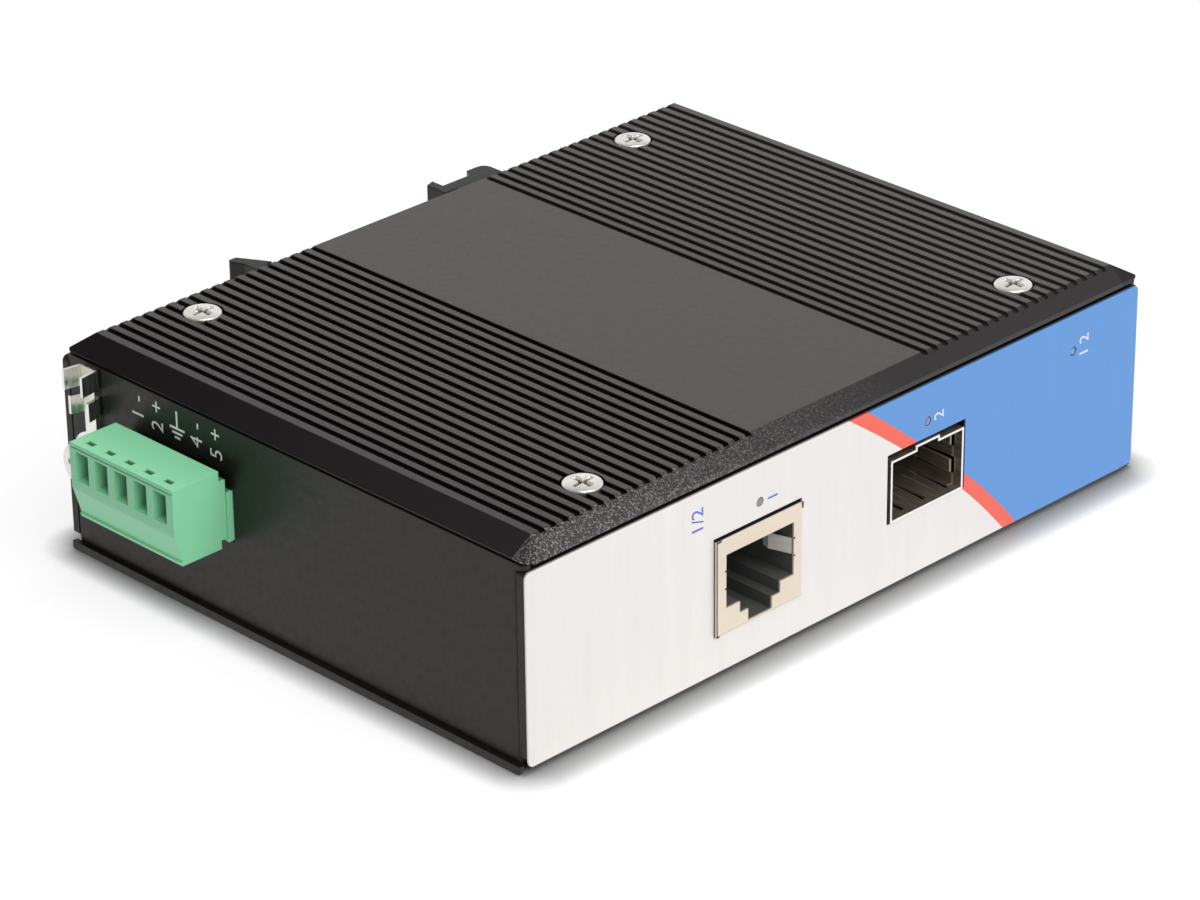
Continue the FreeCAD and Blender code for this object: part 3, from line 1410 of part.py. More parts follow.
def rail_clip_latch():
    """Sliding latch: slanted nose over the rail edge, plate in the channel and a slotted tail."""
    post = -THROAT
    outer = post - d.latch_post_width
    tip = outer - d.latch_tip_lean
    tip_top = HOOK_TOP + d.latch_tip_height
    plate_top = SLIDER_Y[1]
    body = new_body("latch_post")
    extrude(
        body, "latch_section", "XY_Plane", d.clip_bottom, d.clip_top,
        polygon(
            (outer, CLIP_FACE + d.slider_gap), (post, CLIP_FACE + d.slider_gap), (post, HOOK_UNDER),
            (post + d.latch_nose, HOOK_UNDER), (post + d.latch_nose, HOOK_UNDER + d.latch_lead_width),
            (tip + d.latch_tip_width, tip_top), (tip, tip_top), (outer, HOOK_TOP),
        ),
    )
    round_edges(body, "latch_tip_rounds", d.latch_tip_round,
                lambda edge: runs_along(edge, "Z") and close(edge.BoundBox.YMin, tip_top))
    root = box("latch_root", (outer, post), (plate_top - d.seat_gap, CLIP_FACE + d.slider_gap * 2),
               (SLOT_Z[0] + d.slider_gap, SLOT_Z[1] - d.slider_gap))
    plate = box("latch_plate", (d.slider_tail, d.slider_inner), SLIDER_Y, SLIDER_Z)
    window = box("latch_window",
                 (d.spring_seat - d.spring_post_width - d.rail_clearance, d.spring_window_end),
                 (REAR_OUT, CLIP_FACE), (SPRING_Z[0] - d.slider_gap, SPRING_Z[1] + d.slider_gap))
    slot_half = d.tail_slot_width / 2
    slot_start = d.slider_tail + d.tail_slot_margin
    tail = box("latch_tail_slot", (slot_start, slot_start + d.tail_slot_length), (REAR_OUT, CLIP_FACE),
               (CLIP_MIDDLE - slot_half, CLIP_MIDDLE + slot_half))
    return node(cut("rail_clip_latch", fuse("latch_solid", body, root, plate), window, tail))


def rail_clip_spring():
    """Coil spring, bent in short straight lengths, between the fixed post and the end of the latch's window."""
    item = doc.addObject("Part::Feature", "rail_clip_spring")
    wire = d.spring_wire.number
    radius = d.spring_radius.number - wire
    height = (d.spring_window_end - d.spring_seat).number - 2 * wire
    sides = int(d.spring_sides.number)
    steps = int(d.spring_turns.number) * sides
    spots = []
    for step in range(steps + 1):
        angle = 2 * math.pi * step / sides
        spots.append(FreeCAD.Vector(radius * math.cos(angle), radius * math.sin(angle), height * step / steps))
    along = (spots[1] - spots[0]).normalize()
    up = along.cross(FreeCAD.Vector(1, 0, 0)).normalize()
    across = up.cross(along)
    diamond = ((1, 0), (0, 1), (-1, 0), (0, -1), (1, 0))
    section = Part.makePolygon([spots[0] + across * a * wire + up * b * wire for a, b in diamond])
    mitred = 1
    item.Shape = Part.makePolygon(spots).makePipeShell([section], True, False, mitred)
    middle = (SLIDER_Y[0] + SLIDER_Y[1]) / 2
    item.Placement = FreeCAD.Placement(FreeCAD.Vector(), TURNED["X"])
    place(item, d.spring_seat + d.spring_wire, middle, CLIP_MIDDLE)
    return node(item)


def rail_clip_screws():
    screws = []
    for number, spot in enumerate(CLIP_SPOTS, start=1):
        name = "clip_screw_%d" % number
        cone_depth = d.clip_screw_head_radius - d.clip_screw_radius
        shank = rod(name + "_shank", "Y", d.clip_screw_radius, spot, REAR_IN - d.clip_screw_reach, CLIP_FACE)
        head = cone(name + "_head", "Y", d.clip_screw_radius, d.clip_screw_head_radius, spot,
                    CLIP_FACE - cone_depth, CLIP_FACE)
        x, z = spot
        half = d.recess_width / 2
        reach = d.recess_length / 2
        depth = (CLIP_FACE - d.recess_depth, CLIP_FACE + d.sheet)
        slot = box(name + "_slot", (x - reach, x + reach), depth, (z - half, z + half))
        screws.append(cut(name, fuse(name + "_solid", shank, head), slot))
    return node(group("rail_clip_screws", screws))


def write_parts():
    """Recompute, refuse anything broken, and write one STEP file for each sub-part."""
    doc.recompute()
    for item in doc.Objects:
        if "Invalid" in item.State or "Error" in item.State:
            raise RuntimeError("%s failed: %s" % (item.Label, item.State))
    for item in NODES:
        if item.Shape.isNull() or not item.Shape.isValid():
            raise RuntimeError("%s has no valid shape" % item.Label)
        item.Shape.exportStep("parts/%s.step" % item.Label)


chassis_shell()
end_wall("left_end_wall", -1)
end_wall("right_end_wall", 1)
heatsink_cover()
front_label()
each_fixing("cover_screws", cover_screw)
each_fixing("lower_standoffs", lower_standoff)
each_fixing("upper_standoffs", upper_standoff)
jack_shield()
jack_insulator()
jack_contacts()
optics_cage()
optics_host_connector()
for lamp_name, lamp_across in LAMPS.items():
    lamp(lamp_name, lamp_across)
circuit_board()
board_parts()
terminal_header()
terminal_pins()
terminal_plug()
terminal_inside()
earth_lug()
earth_fastening()
rail_clip_body()
rail_clip_latch()
rail_clip_spring()
rail_clip_screws()
write_parts()
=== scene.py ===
import json
import math

import bmesh
import bpy
from mathutils import Matrix, Vector


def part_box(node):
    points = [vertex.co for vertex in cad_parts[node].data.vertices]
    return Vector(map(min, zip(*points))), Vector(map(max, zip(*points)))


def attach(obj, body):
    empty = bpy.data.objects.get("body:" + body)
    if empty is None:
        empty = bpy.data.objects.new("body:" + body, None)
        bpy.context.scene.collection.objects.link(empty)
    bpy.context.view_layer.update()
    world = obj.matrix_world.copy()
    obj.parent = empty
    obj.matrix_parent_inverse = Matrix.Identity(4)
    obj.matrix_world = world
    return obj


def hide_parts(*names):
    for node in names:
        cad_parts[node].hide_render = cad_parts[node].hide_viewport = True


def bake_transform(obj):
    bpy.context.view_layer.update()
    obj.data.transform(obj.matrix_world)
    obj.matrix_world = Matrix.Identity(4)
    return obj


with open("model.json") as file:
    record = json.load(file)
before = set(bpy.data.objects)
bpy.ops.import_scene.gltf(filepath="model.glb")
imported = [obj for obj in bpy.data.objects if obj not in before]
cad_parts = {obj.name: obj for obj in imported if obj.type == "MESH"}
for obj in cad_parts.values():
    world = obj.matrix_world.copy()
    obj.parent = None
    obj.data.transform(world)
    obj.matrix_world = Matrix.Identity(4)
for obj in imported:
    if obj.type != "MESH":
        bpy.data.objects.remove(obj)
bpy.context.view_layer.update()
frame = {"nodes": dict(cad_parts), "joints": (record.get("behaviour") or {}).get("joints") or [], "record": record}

MM = 0.001


# Node trees


class Nodes:
    """A node tree, with short ways to add nodes, feed their sockets and mix values and masks."""

    def __init__(self, tree):
        self.tree = tree

    def add(self, kind, feeds=(), **settings):
        """A new node with its settings; feeds says what its sockets get, by name or number."""
        node = self.tree.nodes.new(kind)
        for key, value in settings.items():
            setattr(node, key, value)
        for socket, value in dict(feeds).items():
            self.feed(node.inputs[socket], value)
        return node

    def feed(self, socket, value):
        """Link a socket to another one, or set its number, vector or colour."""
        if isinstance(value, bpy.types.NodeSocket):
            self.tree.links.new(value, socket)
        elif socket.type == "RGBA":
            socket.default_value = (*value, 1.0)
        else:
            socket.default_value = value

    def math(self, operation, first, second=0.0, clamp=False):
        return self.add("ShaderNodeMath", {0: first, 1: second}, operation=operation, use_clamp=clamp).outputs[0]

    def both(self, first, second):
        """Where two masks meet, or a mask at a strength."""
        return self.math("MULTIPLY", first, second)

    def either(self, first, second):
        """The stronger of two masks."""
        return self.math("MAXIMUM", first, second)

    def between(self, value, low, high, out_low, out_high, **settings):
        """Value mapped from one range to another, held at both ends."""
        feeds = {"Value": value, "From Min": low, "From Max": high, "To Min": out_low, "To Max": out_high}
        return self.add("ShaderNodeMapRange", feeds, clamp=True, **settings).outputs[0]

    def rises(self, value, low, high):
        """Mask that goes from 0 at one value to 1 at a higher one."""
        return self.between(value, low, high, 0.0, 1.0)

    def falls(self, value, low, high):
        """Mask that goes from 1 at one value to 0 at a higher one."""
        return self.between(value, low, high, 1.0, 0.0)

    def spans(self, value, low, high):
        """1 where a value lies between two others, else 0."""
        return self.both(self.math("GREATER_THAN", value, low), self.math("LESS_THAN", value, high))

    def blend(self, factor, first, second):
        """From one colour at 0 to another at 1."""
        return self.add("ShaderNodeMix", {0: factor, 6: first, 7: second}, data_type="RGBA").outputs[2]

    def scaled(self, colour, factor):
        """Colour times a factor that may vary over the surface."""
        return self.add("ShaderNodeVectorMath", {0: colour, "Scale": factor}, operation="SCALE").outputs[0]

    def ray(self, kind):
        """1 for one kind of ray, else 0."""
        return self.add("ShaderNodeLightPath").outputs[kind]


class Graph(Nodes):
    """One procedural material; every texture is laid out in the model's own metres."""

    def __init__(self, name, colour, roughness, metallic=0.0):
        self.material = bpy.data.materials.new(name)
        self.material.use_nodes = True
        super().__init__(self.material.node_tree)
        self.shader = self.tree.nodes["Principled BSDF"]
        self.place = self.add("ShaderNodeTexCoord").outputs["Object"]
        self.give("Base Color", colour)
        self.give("Roughness", roughness)
        self.give("Metallic", metallic)

    def give(self, name, value):
        """Feed one of the shader's own sockets."""
        self.feed(self.shader.inputs[name], value)

    def axes(self):
        """The object place's coordinates: across, along and up, in metres."""
        return self.add("ShaderNodeSeparateXYZ", {0: self.place}).outputs

    def noise(self, scale, detail=3.0, roughness=0.5, place=None):
        """Noise with so many features a metre."""
        feeds = {"Vector": place or self.place, "Scale": scale, "Detail": detail, "Roughness": roughness}
        return self.add("ShaderNodeTexNoise", feeds).outputs["Fac"]

    def streaks(self, scale):
        """Noise with its own number of features a metre along each axis."""
        place = self.add("ShaderNodeVectorMath", {0: self.place, 1: scale}, operation="MULTIPLY").outputs[0]
        return self.noise(1.0, detail=2.0, place=place)

    def varied(self, noise, low, high, spread=0.2):
        """Number that follows a noise from low to high, over a spread to each side of the noise's middle."""
        return self.between(noise, 0.5 - spread, 0.5 + spread, low, high)

    def rough(self, noise, low, high):
        """Roughness that follows a noise."""
        self.give("Roughness", self.varied(noise, low, high))

    def bump(self, height, distance, edge=0.0):
        """Fine relief; with an edge radius in metres, sharp edges are shaded as if softened that much."""
        feeds = {"Height": height, "Distance": distance}
        if edge:
            feeds["Normal"] = self.add("ShaderNodeBevel", {"Radius": edge}, samples=6).outputs[0]
        self.give("Normal", self.add("ShaderNodeBump", feeds).outputs[0])


# Materials: grain in features a metre, places and heights of relief in metres


def mottled(name, colour, roughness, grain=1500.0, bump=0.00002, tone=0.12, sheen=0.08, edge=0.0):
    """Plain finish with a fine grain: colour, roughness and height all vary a little."""
    graph = Graph(name, colour, roughness)
    broad = graph.noise(60.0)
    fine = graph.noise(grain, detail=4.0)
    graph.give("Base Color", graph.scaled(colour, graph.varied(broad, 1.0 - tone, 1.0 + tone)))
    graph.rough(fine, roughness - sheen, roughness + sheen)
    graph.bump(fine, bump, edge)
    return graph


MOULD_GRAIN = 2600.0
MOULD_RELIEF = 0.000012


def moulded(name, colour, roughness, edge=0.0):
    """Moulded plastic, evenly coloured."""
    return mottled(name, colour, roughness, grain=MOULD_GRAIN, bump=MOULD_RELIEF, tone=0.05, sheen=0.05, edge=edge)


def brushed(name, colour, roughness, lines, metallic=1.0):
    """Rolled or plated metal with fine lines along one axis."""
    graph = Graph(name, colour, roughness, metallic)
    streak = graph.streaks(lines)
    broad = graph.noise(220.0)
    shade = graph.math("ADD", graph.varied(streak, -0.05, 0.05), graph.varied(broad, 0.94, 1.04))
    graph.give("Base Color", graph.scaled(colour, shade))
    graph.rough(streak, roughness - 0.06, roughness + 0.08)
    graph.bump(streak, 0.000006)
    return graph


def powder_coat():
    """Satin black paint on sheet steel, with a faint orange peel."""
    graph = mottled("powder_coat", (0.0120, 0.0085, 0.0065), 0.40, grain=900.0, bump=0.000012, tone=0.10,
                    edge=0.00015)
    graph.give("Specular IOR Level", 0.30)
    return graph


# Where the cover's flat top ends
COVER_TOP_Z = 0.03093
COVER_PLATEAU_X = 0.05342
COVER_PLATEAU_Y = 0.0403

# Where along the cover its colour changes, with painted shade and painted light, and over what width it changes at an
# edge
EDGE_STEP = 0.0001
FRONT_HALF_Y = (-0.001, 0.001)
GRAIN_AND_GLINTS_X = (-0.050, 0.010)
RIDGES_PAINTED_SHADE_X = (-0.0535, -0.040)
RIDGES_PAINTED_LIGHT_X = (0.014, 0.045)
GROOVE_SHADE_EASES_X = (-0.005, 0.045)
END_BEVEL_SHADE_Y = (-0.045, 0.030)

RIDGE_TONE = (0.0560, 0.0440, 0.0440)
# Painted shade on the bevels
BEVEL_PAINTED_SHADE = (0.0150, 0.0110, 0.0120)
# Painted light on the front bevel's left half, and the painted glints over it
BEVEL_PAINTED_LIGHT = (0.0310, 0.0240, 0.0250)
GLINT_TONE = (0.31, 0.28, 0.28)
# Painted shade in the grooves, lighter towards the right end, deepened by a high metallic over the dark tone
GROOVE_PAINTED_SHADE_LEFT = (0.0080, 0.0062, 0.0056)
GROOVE_PAINTED_SHADE_RIGHT = (0.0780, 0.0680, 0.0630)
GROOVE_SHADE_METALLIC = 0.85
GROOVE_ROUGHER = 0.3


def anodised():
    """Black anodised extrusion: satin ridges with painted shade at the left end and painted light at the right, matt
    grooves and bevels in painted shade, and painted light with painted glints over a coarser grain at one end of the
    front bevel.
    """
    graph = Graph("black_anodised", RIDGE_TONE, 0.42)
    fine = graph.noise(3600.0, detail=2.0, roughness=0.7)
    coarse = graph.noise(1100.0)
    across, along, up = graph.axes()
    side = graph.rises(graph.math("ABSOLUTE", along), COVER_PLATEAU_Y, COVER_PLATEAU_Y + EDGE_STEP)
    end = graph.rises(graph.math("ABSOLUTE", across), COVER_PLATEAU_X, COVER_PLATEAU_X + EDGE_STEP)
    bevel = graph.either(side, end)
    grain_and_glints = graph.both(graph.both(side, graph.falls(along, *FRONT_HALF_Y)), graph.falls(across, *GRAIN_AND_GLINTS_X))
    low = graph.falls(up, COVER_TOP_Z - 2 * EDGE_STEP, COVER_TOP_Z - EDGE_STEP)
    sunk = graph.math("SUBTRACT", low, bevel, clamp=True)
    # Painted shade dims the ridges towards the left end, and painted light brightens them towards the right
    level = graph.math("ADD", graph.between(across, *RIDGES_PAINTED_SHADE_X, 0.50, 1.0),
                       graph.between(across, *RIDGES_PAINTED_LIGHT_X, 0.0, 0.36))
    # Painted shade in the grooves, easing towards the right
    grooves = graph.blend(graph.rises(across, *GROOVE_SHADE_EASES_X), GROOVE_PAINTED_SHADE_LEFT, GROOVE_PAINTED_SHADE_RIGHT)
    # Painted shade on the bevels
    tone = graph.blend(bevel, graph.scaled(RIDGE_TONE, level), BEVEL_PAINTED_SHADE)
    tone = graph.blend(grain_and_glints, tone, BEVEL_PAINTED_LIGHT)
    tone = graph.blend(sunk, tone, grooves)
    # Painted glints over the front bevel's left half, which also gets a coarser grain in its relief
    speckle = graph.both(graph.rises(fine, 0.50, 0.64), grain_and_glints)
    graph.give("Base Color", graph.blend(speckle, tone, GLINT_TONE))
    # Painted shade on the end bevel, deeper towards the rear, through a rising metallic
    end_bevel_shade = graph.both(end, graph.between(along, *END_BEVEL_SHADE_Y, 0.35, 0.95))
    # Metallic over the dark tones deepens the painted shade in the grooves and on the end bevel
    graph.give("Metallic", graph.either(graph.both(sunk, GROOVE_SHADE_METALLIC), end_bevel_shade))
    graph.give("Roughness", graph.math("ADD", graph.varied(coarse, 0.36, 0.44), graph.both(sunk, GROOVE_ROUGHER)))
    height = graph.math("ADD", graph.math("MULTIPLY", fine, 0.10), graph.math("MULTIPLY", grain_and_glints, coarse))
    graph.bump(height, 0.00002, 0.00012)
    return graph


# The label: its stripe's edges as (x, z) points, and the box that their curves are scaled to, in millimetres
STRIPE_LEFT = ((-0.15, 27.60), (9.68, 20.28), (21.96, 9.84), (29.77, 1.70), (30.68, 0.60))
STRIPE_RIGHT = ((3.39, 27.60), (12.52, 20.32), (22.31, 12.06), (29.63, 4.83), (33.0, 0.85))
LABEL_HEIGHT = 30.0
LABEL_REACH = 40.0

LABEL_SILVER = (0.855, 0.825, 0.80)
LABEL_RED = (0.95, 0.15, 0.105)
LABEL_BLUE = (0.128, 0.330, 0.720)


def edge_at(graph, level, points):
    """X of a curved print edge at a height, in metres; the points are (x, z) in millimetres."""
    node = graph.add("ShaderNodeFloatCurve", {"Value": graph.math("DIVIDE", level, LABEL_HEIGHT * MM)})
    curve = node.mapping.curves[0]
    first, *inner, last = sorted((z / LABEL_HEIGHT, (x + LABEL_REACH) / (2 * LABEL_REACH)) for x, z in points)
    curve.points[0].location = first
    curve.points[1].location = last
    for spot in inner:
        curve.points.new(*spot)
    node.mapping.update()
    spread = graph.math("MULTIPLY", node.outputs[0], 2 * LABEL_REACH * MM)
    return graph.math("SUBTRACT", spread, LABEL_REACH * MM)


def port_label():
    """Brushed overlay: silver, a slanted red stripe, then blue."""
    graph = Graph("port_label", LABEL_SILVER, 0.38, 0.35)
    streak = graph.streaks((5200.0, 5200.0, 130.0))
    broad = graph.streaks((420.0, 420.0, 40.0))
    across, _, up = graph.axes()
    left, right = (graph.math("GREATER_THAN", across, edge_at(graph, up, points))
                   for points in (STRIPE_LEFT, STRIPE_RIGHT))
    colour = graph.blend(right, graph.blend(left, LABEL_SILVER, LABEL_RED), LABEL_BLUE)
    tone = graph.math("ADD", graph.varied(streak, -0.02, 0.02, 0.25), graph.varied(broad, 0.975, 1.02, 0.25))
    graph.give("Base Color", graph.scaled(colour, tone))
    graph.rough(streak, 0.32, 0.44)
    graph.bump(streak, 0.000008)
    return graph


# Painted shade darkens the screws between these depths below the cover's top; lower ones, such as the earth screw,
# stay bright
PAINTED_SHADE_STARTS = 0.00005
PAINTED_SHADE_FULL = 0.00035
PAINTED_SHADE_ENDS = 0.0015
SCREW_BRIGHT = (0.93, 0.90, 0.86)
SCREW_PAINTED_SHADE = (0.22, 0.19, 0.145)


def screw_metal():
    """Bright plated screw, with painted shade down in the recess of a cover screw."""
    graph = Graph("bright_screw", SCREW_BRIGHT, 0.28, 0.6)
    grain = graph.noise(900.0, detail=2.0)
    patches = graph.noise(420.0)
    up = graph.axes()[2]
    low = graph.both(graph.falls(up, COVER_TOP_Z - PAINTED_SHADE_FULL, COVER_TOP_Z - PAINTED_SHADE_STARTS),
                     graph.math("GREATER_THAN", up, COVER_TOP_Z - PAINTED_SHADE_ENDS))
    # Painted shade below the cover's top
    tone = graph.blend(low, SCREW_BRIGHT, SCREW_PAINTED_SHADE)
    graph.give("Base Color", graph.scaled(tone, graph.varied(patches, 0.90, 1.05)))
    graph.rough(grain, 0.22, 0.36)
    graph.bump(grain, 0.000006, 0.00008)
    return graph


# The two ports' plated shells: the copper port's to the left, the module cage's to the right
PORTS_PART_X = (-0.002, 0.002)
# Behind this place along Y and above this height the copper port's shell gets painted shade
SHELL_SHADE_Y = (-0.04270, -0.04262)
SHELL_SHADE_Z = (0.01963, 0.01968)
# Behind this place along Y the cage is in painted shade; in front of it its rim has a painted highlight
CAGE_RIM_Y = (-0.04283, -0.04275)
# Where the cage's leaves lie; their edges and tips get painted glints
SIDE_LEAVES_Z = (0.01315, 0.01705)
SIDE_LEAF_HALF = 0.00090
CAGE_SIDE_X = 0.0205
FLOOR_LEAVES_X = (0.01495, 0.01945)
FLOOR_LEAF_HALF = 0.00080
CAGE_FLOOR_Z = 0.0107
LEAF_EDGE = 0.00012
LEAVES_Y = (-0.0416, -0.0348)
LEAF_TIPS_Y = (-0.04148, -0.04112)

# Tones: the copper port's cream, painted shade on its shell, a painted highlight on the cage's rim, painted shade
# inside the cage and painted glints on the leaves
SHELL_CREAM = (0.80, 0.70, 0.58)
SHELL_PAINTED_SHADE = (0.030, 0.027, 0.024)
CAGE_RIM_HIGHLIGHT = (0.97, 0.96, 0.93)
CAGE_INSIDE_SHADE = (0.330, 0.280, 0.225)
LEAF_GLINT = (0.95, 0.90, 0.82)
LEAF_GLINT_STRENGTH = 0.65


def leaf_edges(graph, value, middles, half):
    """1 along both edges of two leaves, which are given by their middles and half their width, else 0."""
    first, second = (graph.spans(graph.math("ABSOLUTE", graph.math("SUBTRACT", value, middle)),
                                 half - LEAF_EDGE, half + LEAF_EDGE) for middle in middles)
    return graph.either(first, second)


def plated_shells():
    """Nickel plated sheet: cream and plain on the copper port with painted shade behind its front, a painted highlight
    on the module cage's rim, painted shade inside the cage and painted glints on its leaves.
    """
    graph = Graph("nickel_shell", SHELL_CREAM, 0.34, 0.45)
    streak = graph.streaks((2500.0, 200.0, 2500.0))
    across, along, up = graph.axes()
    cage = graph.rises(across, *PORTS_PART_X)
    deep = graph.rises(along, *CAGE_RIM_Y)

    shell_shade = graph.either(graph.rises(along, *SHELL_SHADE_Y), graph.rises(up, *SHELL_SHADE_Z))
    shell = graph.scaled(SHELL_CREAM, graph.varied(graph.noise(90.0), 0.97, 1.03))
    # Painted shade on the shell behind its front face and above its top edge
    shell = graph.blend(shell_shade, shell, SHELL_PAINTED_SHADE)

    at_side = graph.math("GREATER_THAN", across, CAGE_SIDE_X)
    at_floor = graph.math("LESS_THAN", up, CAGE_FLOOR_Z)
    edges = graph.either(graph.both(leaf_edges(graph, up, SIDE_LEAVES_Z, SIDE_LEAF_HALF), at_side),
                         graph.both(leaf_edges(graph, across, FLOOR_LEAVES_X, FLOOR_LEAF_HALF), at_floor))
    edges = graph.both(edges, graph.spans(along, *LEAVES_Y))
    tips = graph.both(graph.spans(along, *LEAF_TIPS_Y), at_side)
    # Painted shade inside the cage
    inside = graph.scaled(CAGE_INSIDE_SHADE, graph.varied(streak, 0.75, 1.25))
    # Painted glints along the leaves' edges and tips
    inside = graph.blend(graph.both(graph.either(edges, tips), LEAF_GLINT_STRENGTH), inside, LEAF_GLINT)

    # Painted highlight on the cage's rim, painted shade behind it
    graph.give("Base Color", graph.blend(cage, shell, graph.blend(deep, CAGE_RIM_HIGHLIGHT, inside)))
    # Metallic that deepens the painted shade inside the cage
    graph.give("Metallic", graph.between(graph.both(cage, deep), 0.0, 1.0, 0.45, 0.75))
    graph.rough(streak, 0.28, 0.38)
    graph.bump(streak, 0.000003, 0.00012)
    return graph


CLIP_BLACK = (0.0150, 0.0125, 0.0105)
CLIP_PAINTED_SHADE_Y = (0.0472, 0.0492)


def clip_moulding():
    """Black moulding, with painted shade where it lies in against the case."""
    graph = mottled("clip_black", CLIP_BLACK, 0.42, grain=MOULD_GRAIN, bump=MOULD_RELIEF, edge=0.0003)
    along = graph.axes()[1]
    # Painted shade, standing for the cover's shadow, where the clip lies in against the case
    graph.give("Base Color", graph.scaled(CLIP_BLACK, graph.between(along, *CLIP_PAINTED_SHADE_Y, 0.15, 1.0)))
    graph.give("Specular IOR Level", 0.35)
    return graph


# The plug: how far from its box its outer faces count, where its wire windows lie, and the painted shade inside them
# and on the wire side
PLUG_GREEN = (0.330, 0.870, 0.500)
PLUG_SKIN = 0.0002
WINDOW_DROP = 0.0052
WINDOW_SHADE_DEPTHS = (0.0003, 0.0022)
WINDOW_PAINTED_SHADE = 0.62
WIRE_SIDE_PAINTED_SHADE = 0.84


def plug_moulding():
    """Green moulding, with painted shade on the wire side and inside the wire windows and test notches."""
    low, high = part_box("terminal_plug")
    graph = moulded("terminal_green", PLUG_GREEN, 0.36, edge=0.0002)
    across, along, up = graph.axes()
    # Painted shade on the wire side
    face = graph.between(across, low.x + PLUG_SKIN / 2, low.x + PLUG_SKIN, WIRE_SIDE_PAINTED_SHADE, 1.0)
    windows = graph.both(graph.spans(along, low.y + PLUG_SKIN, high.y - PLUG_SKIN),
                         graph.spans(up, high.z - WINDOW_DROP, high.z - PLUG_SKIN))
    # Painted shade inside the wire windows and test notches, deeper further in
    deep = graph.between(across, *(low.x + depth for depth in WINDOW_SHADE_DEPTHS), 0.0, WINDOW_PAINTED_SHADE)
    lit = graph.math("SUBTRACT", 1.0, graph.both(windows, deep))
    graph.give("Base Color", graph.scaled(PLUG_GREEN, graph.math("MULTIPLY", face, lit)))
    return graph


# The lamps' own grey, and the tint from each place to the right on
LENS_GREY = (0.30, 0.29, 0.28)
LENS_TINTS = ((0.0, (0.27, 0.32, 0.46)), (0.03, (0.21, 0.34, 0.62)))


def lens():
    """Clear lamp ends: grey on the silver part of the label, and tinted by the blue around the other two."""
    graph = mottled("lamp_lens", LENS_GREY, 0.25, grain=900.0, bump=0.000004, sheen=0.03)
    across = graph.axes()[0]
    tint = LENS_GREY
    for start, colour in LENS_TINTS:
        tint = graph.blend(graph.math("GREATER_THAN", across, start), tint, colour)
    speckle = graph.noise(2200.0, detail=1.0)
    graph.give("Base Color", graph.scaled(tint, graph.varied(speckle, 0.70, 1.30, 0.15)))
    graph.give("Transmission Weight", 0.10)
    return graph


BOARD_GREEN = (0.012, 0.075, 0.030)


def board():
    """Green solder mask with the faint lines of buried tracks."""
    graph = Graph("board_green", BOARD_GREEN, 0.32)
    tracks = graph.add("ShaderNodeTexBrick", {
        "Vector": graph.place, "Scale": 260.0, "Color1": BOARD_GREEN, "Color2": (0.016, 0.100, 0.040),
        "Mortar": (0.010, 0.055, 0.022), "Mortar Size": 0.012,
    })
    graph.give("Base Color", tracks.outputs["Color"])
    graph.bump(tracks.outputs["Fac"], 0.00001)
    return graph


FINISHES = {
    "case_black": powder_coat(),
    "cover_black": anodised(),
    "port_label": port_label(),
    "zinc_steel": brushed("zinc_steel", (0.60, 0.61, 0.62), 0.32, (1500.0, 1500.0, 1500.0)),
    "bright_screw": screw_metal(),
    "nickel_shell": plated_shells(),
    "port_black": moulded("port_black", (0.092, 0.095, 0.088), 0.38),
    "contact_gold": brushed("contact_gold", (0.83, 0.60, 0.26), 0.22, (120.0, 4000.0, 4000.0)),
    "lamp_lens": lens(),
    "board_green": board(),
    "chip_black": moulded("chip_black", (0.020, 0.020, 0.022), 0.5),
    "pad_grey": moulded("pad_grey", (0.28, 0.33, 0.38), 0.7),
    "crystal_can": brushed("crystal_can", (0.66, 0.66, 0.64), 0.3, (120.0, 3000.0, 3000.0)),
    "ferrite": moulded("ferrite", (0.05, 0.05, 0.055), 0.6),
    "capacitor_sleeve": moulded("capacitor_sleeve", (0.02, 0.025, 0.045), 0.25),
    "fuse_body": moulded("fuse_body", (0.60, 0.55, 0.42), 0.35),
    "terminal_green": plug_moulding(),
    "lug_tin": brushed("lug_tin", (0.80, 0.79, 0.75), 0.26, (2500.0, 2500.0, 160.0)),
    "clip_black": clip_moulding(),
}


def finished(mesh, graph):
    """Give a mesh one material, in place of any that it has."""
    mesh.materials.clear()
    mesh.materials.append(graph.material)


for part in frame["record"]["subparts"]:
    finished(frame["nodes"][part["node"]].data, FINISHES[part["material_slot"]])


# Making pieces; sizes and places are in millimetres


def shown(name, mesh, graph):
    """A new object in the scene for a mesh, with its material."""
    finished(mesh, graph)
    piece = bpy.data.objects.new(name, mesh)
    bpy.context.collection.objects.link(piece)
    return piece


def built(name, mesh, graph):
    """A new object from a bmesh, which is used up."""
    data = bpy.data.meshes.new(name)
    mesh.to_mesh(data)
    mesh.free()
    return shown(name, data, graph)


def fixed(piece):
    """Make a piece part of the case."""
    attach(piece, "case")


def laid(piece, origin, right, up):
    """Stand a flat piece of the case on a face: its X goes along right and its Y along up."""
    right = Vector(right)
    up = Vector(up)
    turn = Matrix((right, up, right.cross(up))).transposed().to_4x4()
    piece.data.transform(Matrix.Translation(Vector(origin) * MM) @ turn)
    fixed(piece)


# Printed marks

PRINT_THICK = 0.02
LEFTWARD, RIGHTWARD = (-1, 0, 0), (1, 0, 0)
FORWARD, BACKWARD = (0, -1, 0), (0, 1, 0)
DOWNWARD, UPWARD = (0, 0, -1), (0, 0, 1)


def ink(name, colour):
    """Matt printing ink."""
    return mottled(name, colour, 0.5, grain=1800.0, bump=0.000004, tone=0.04)


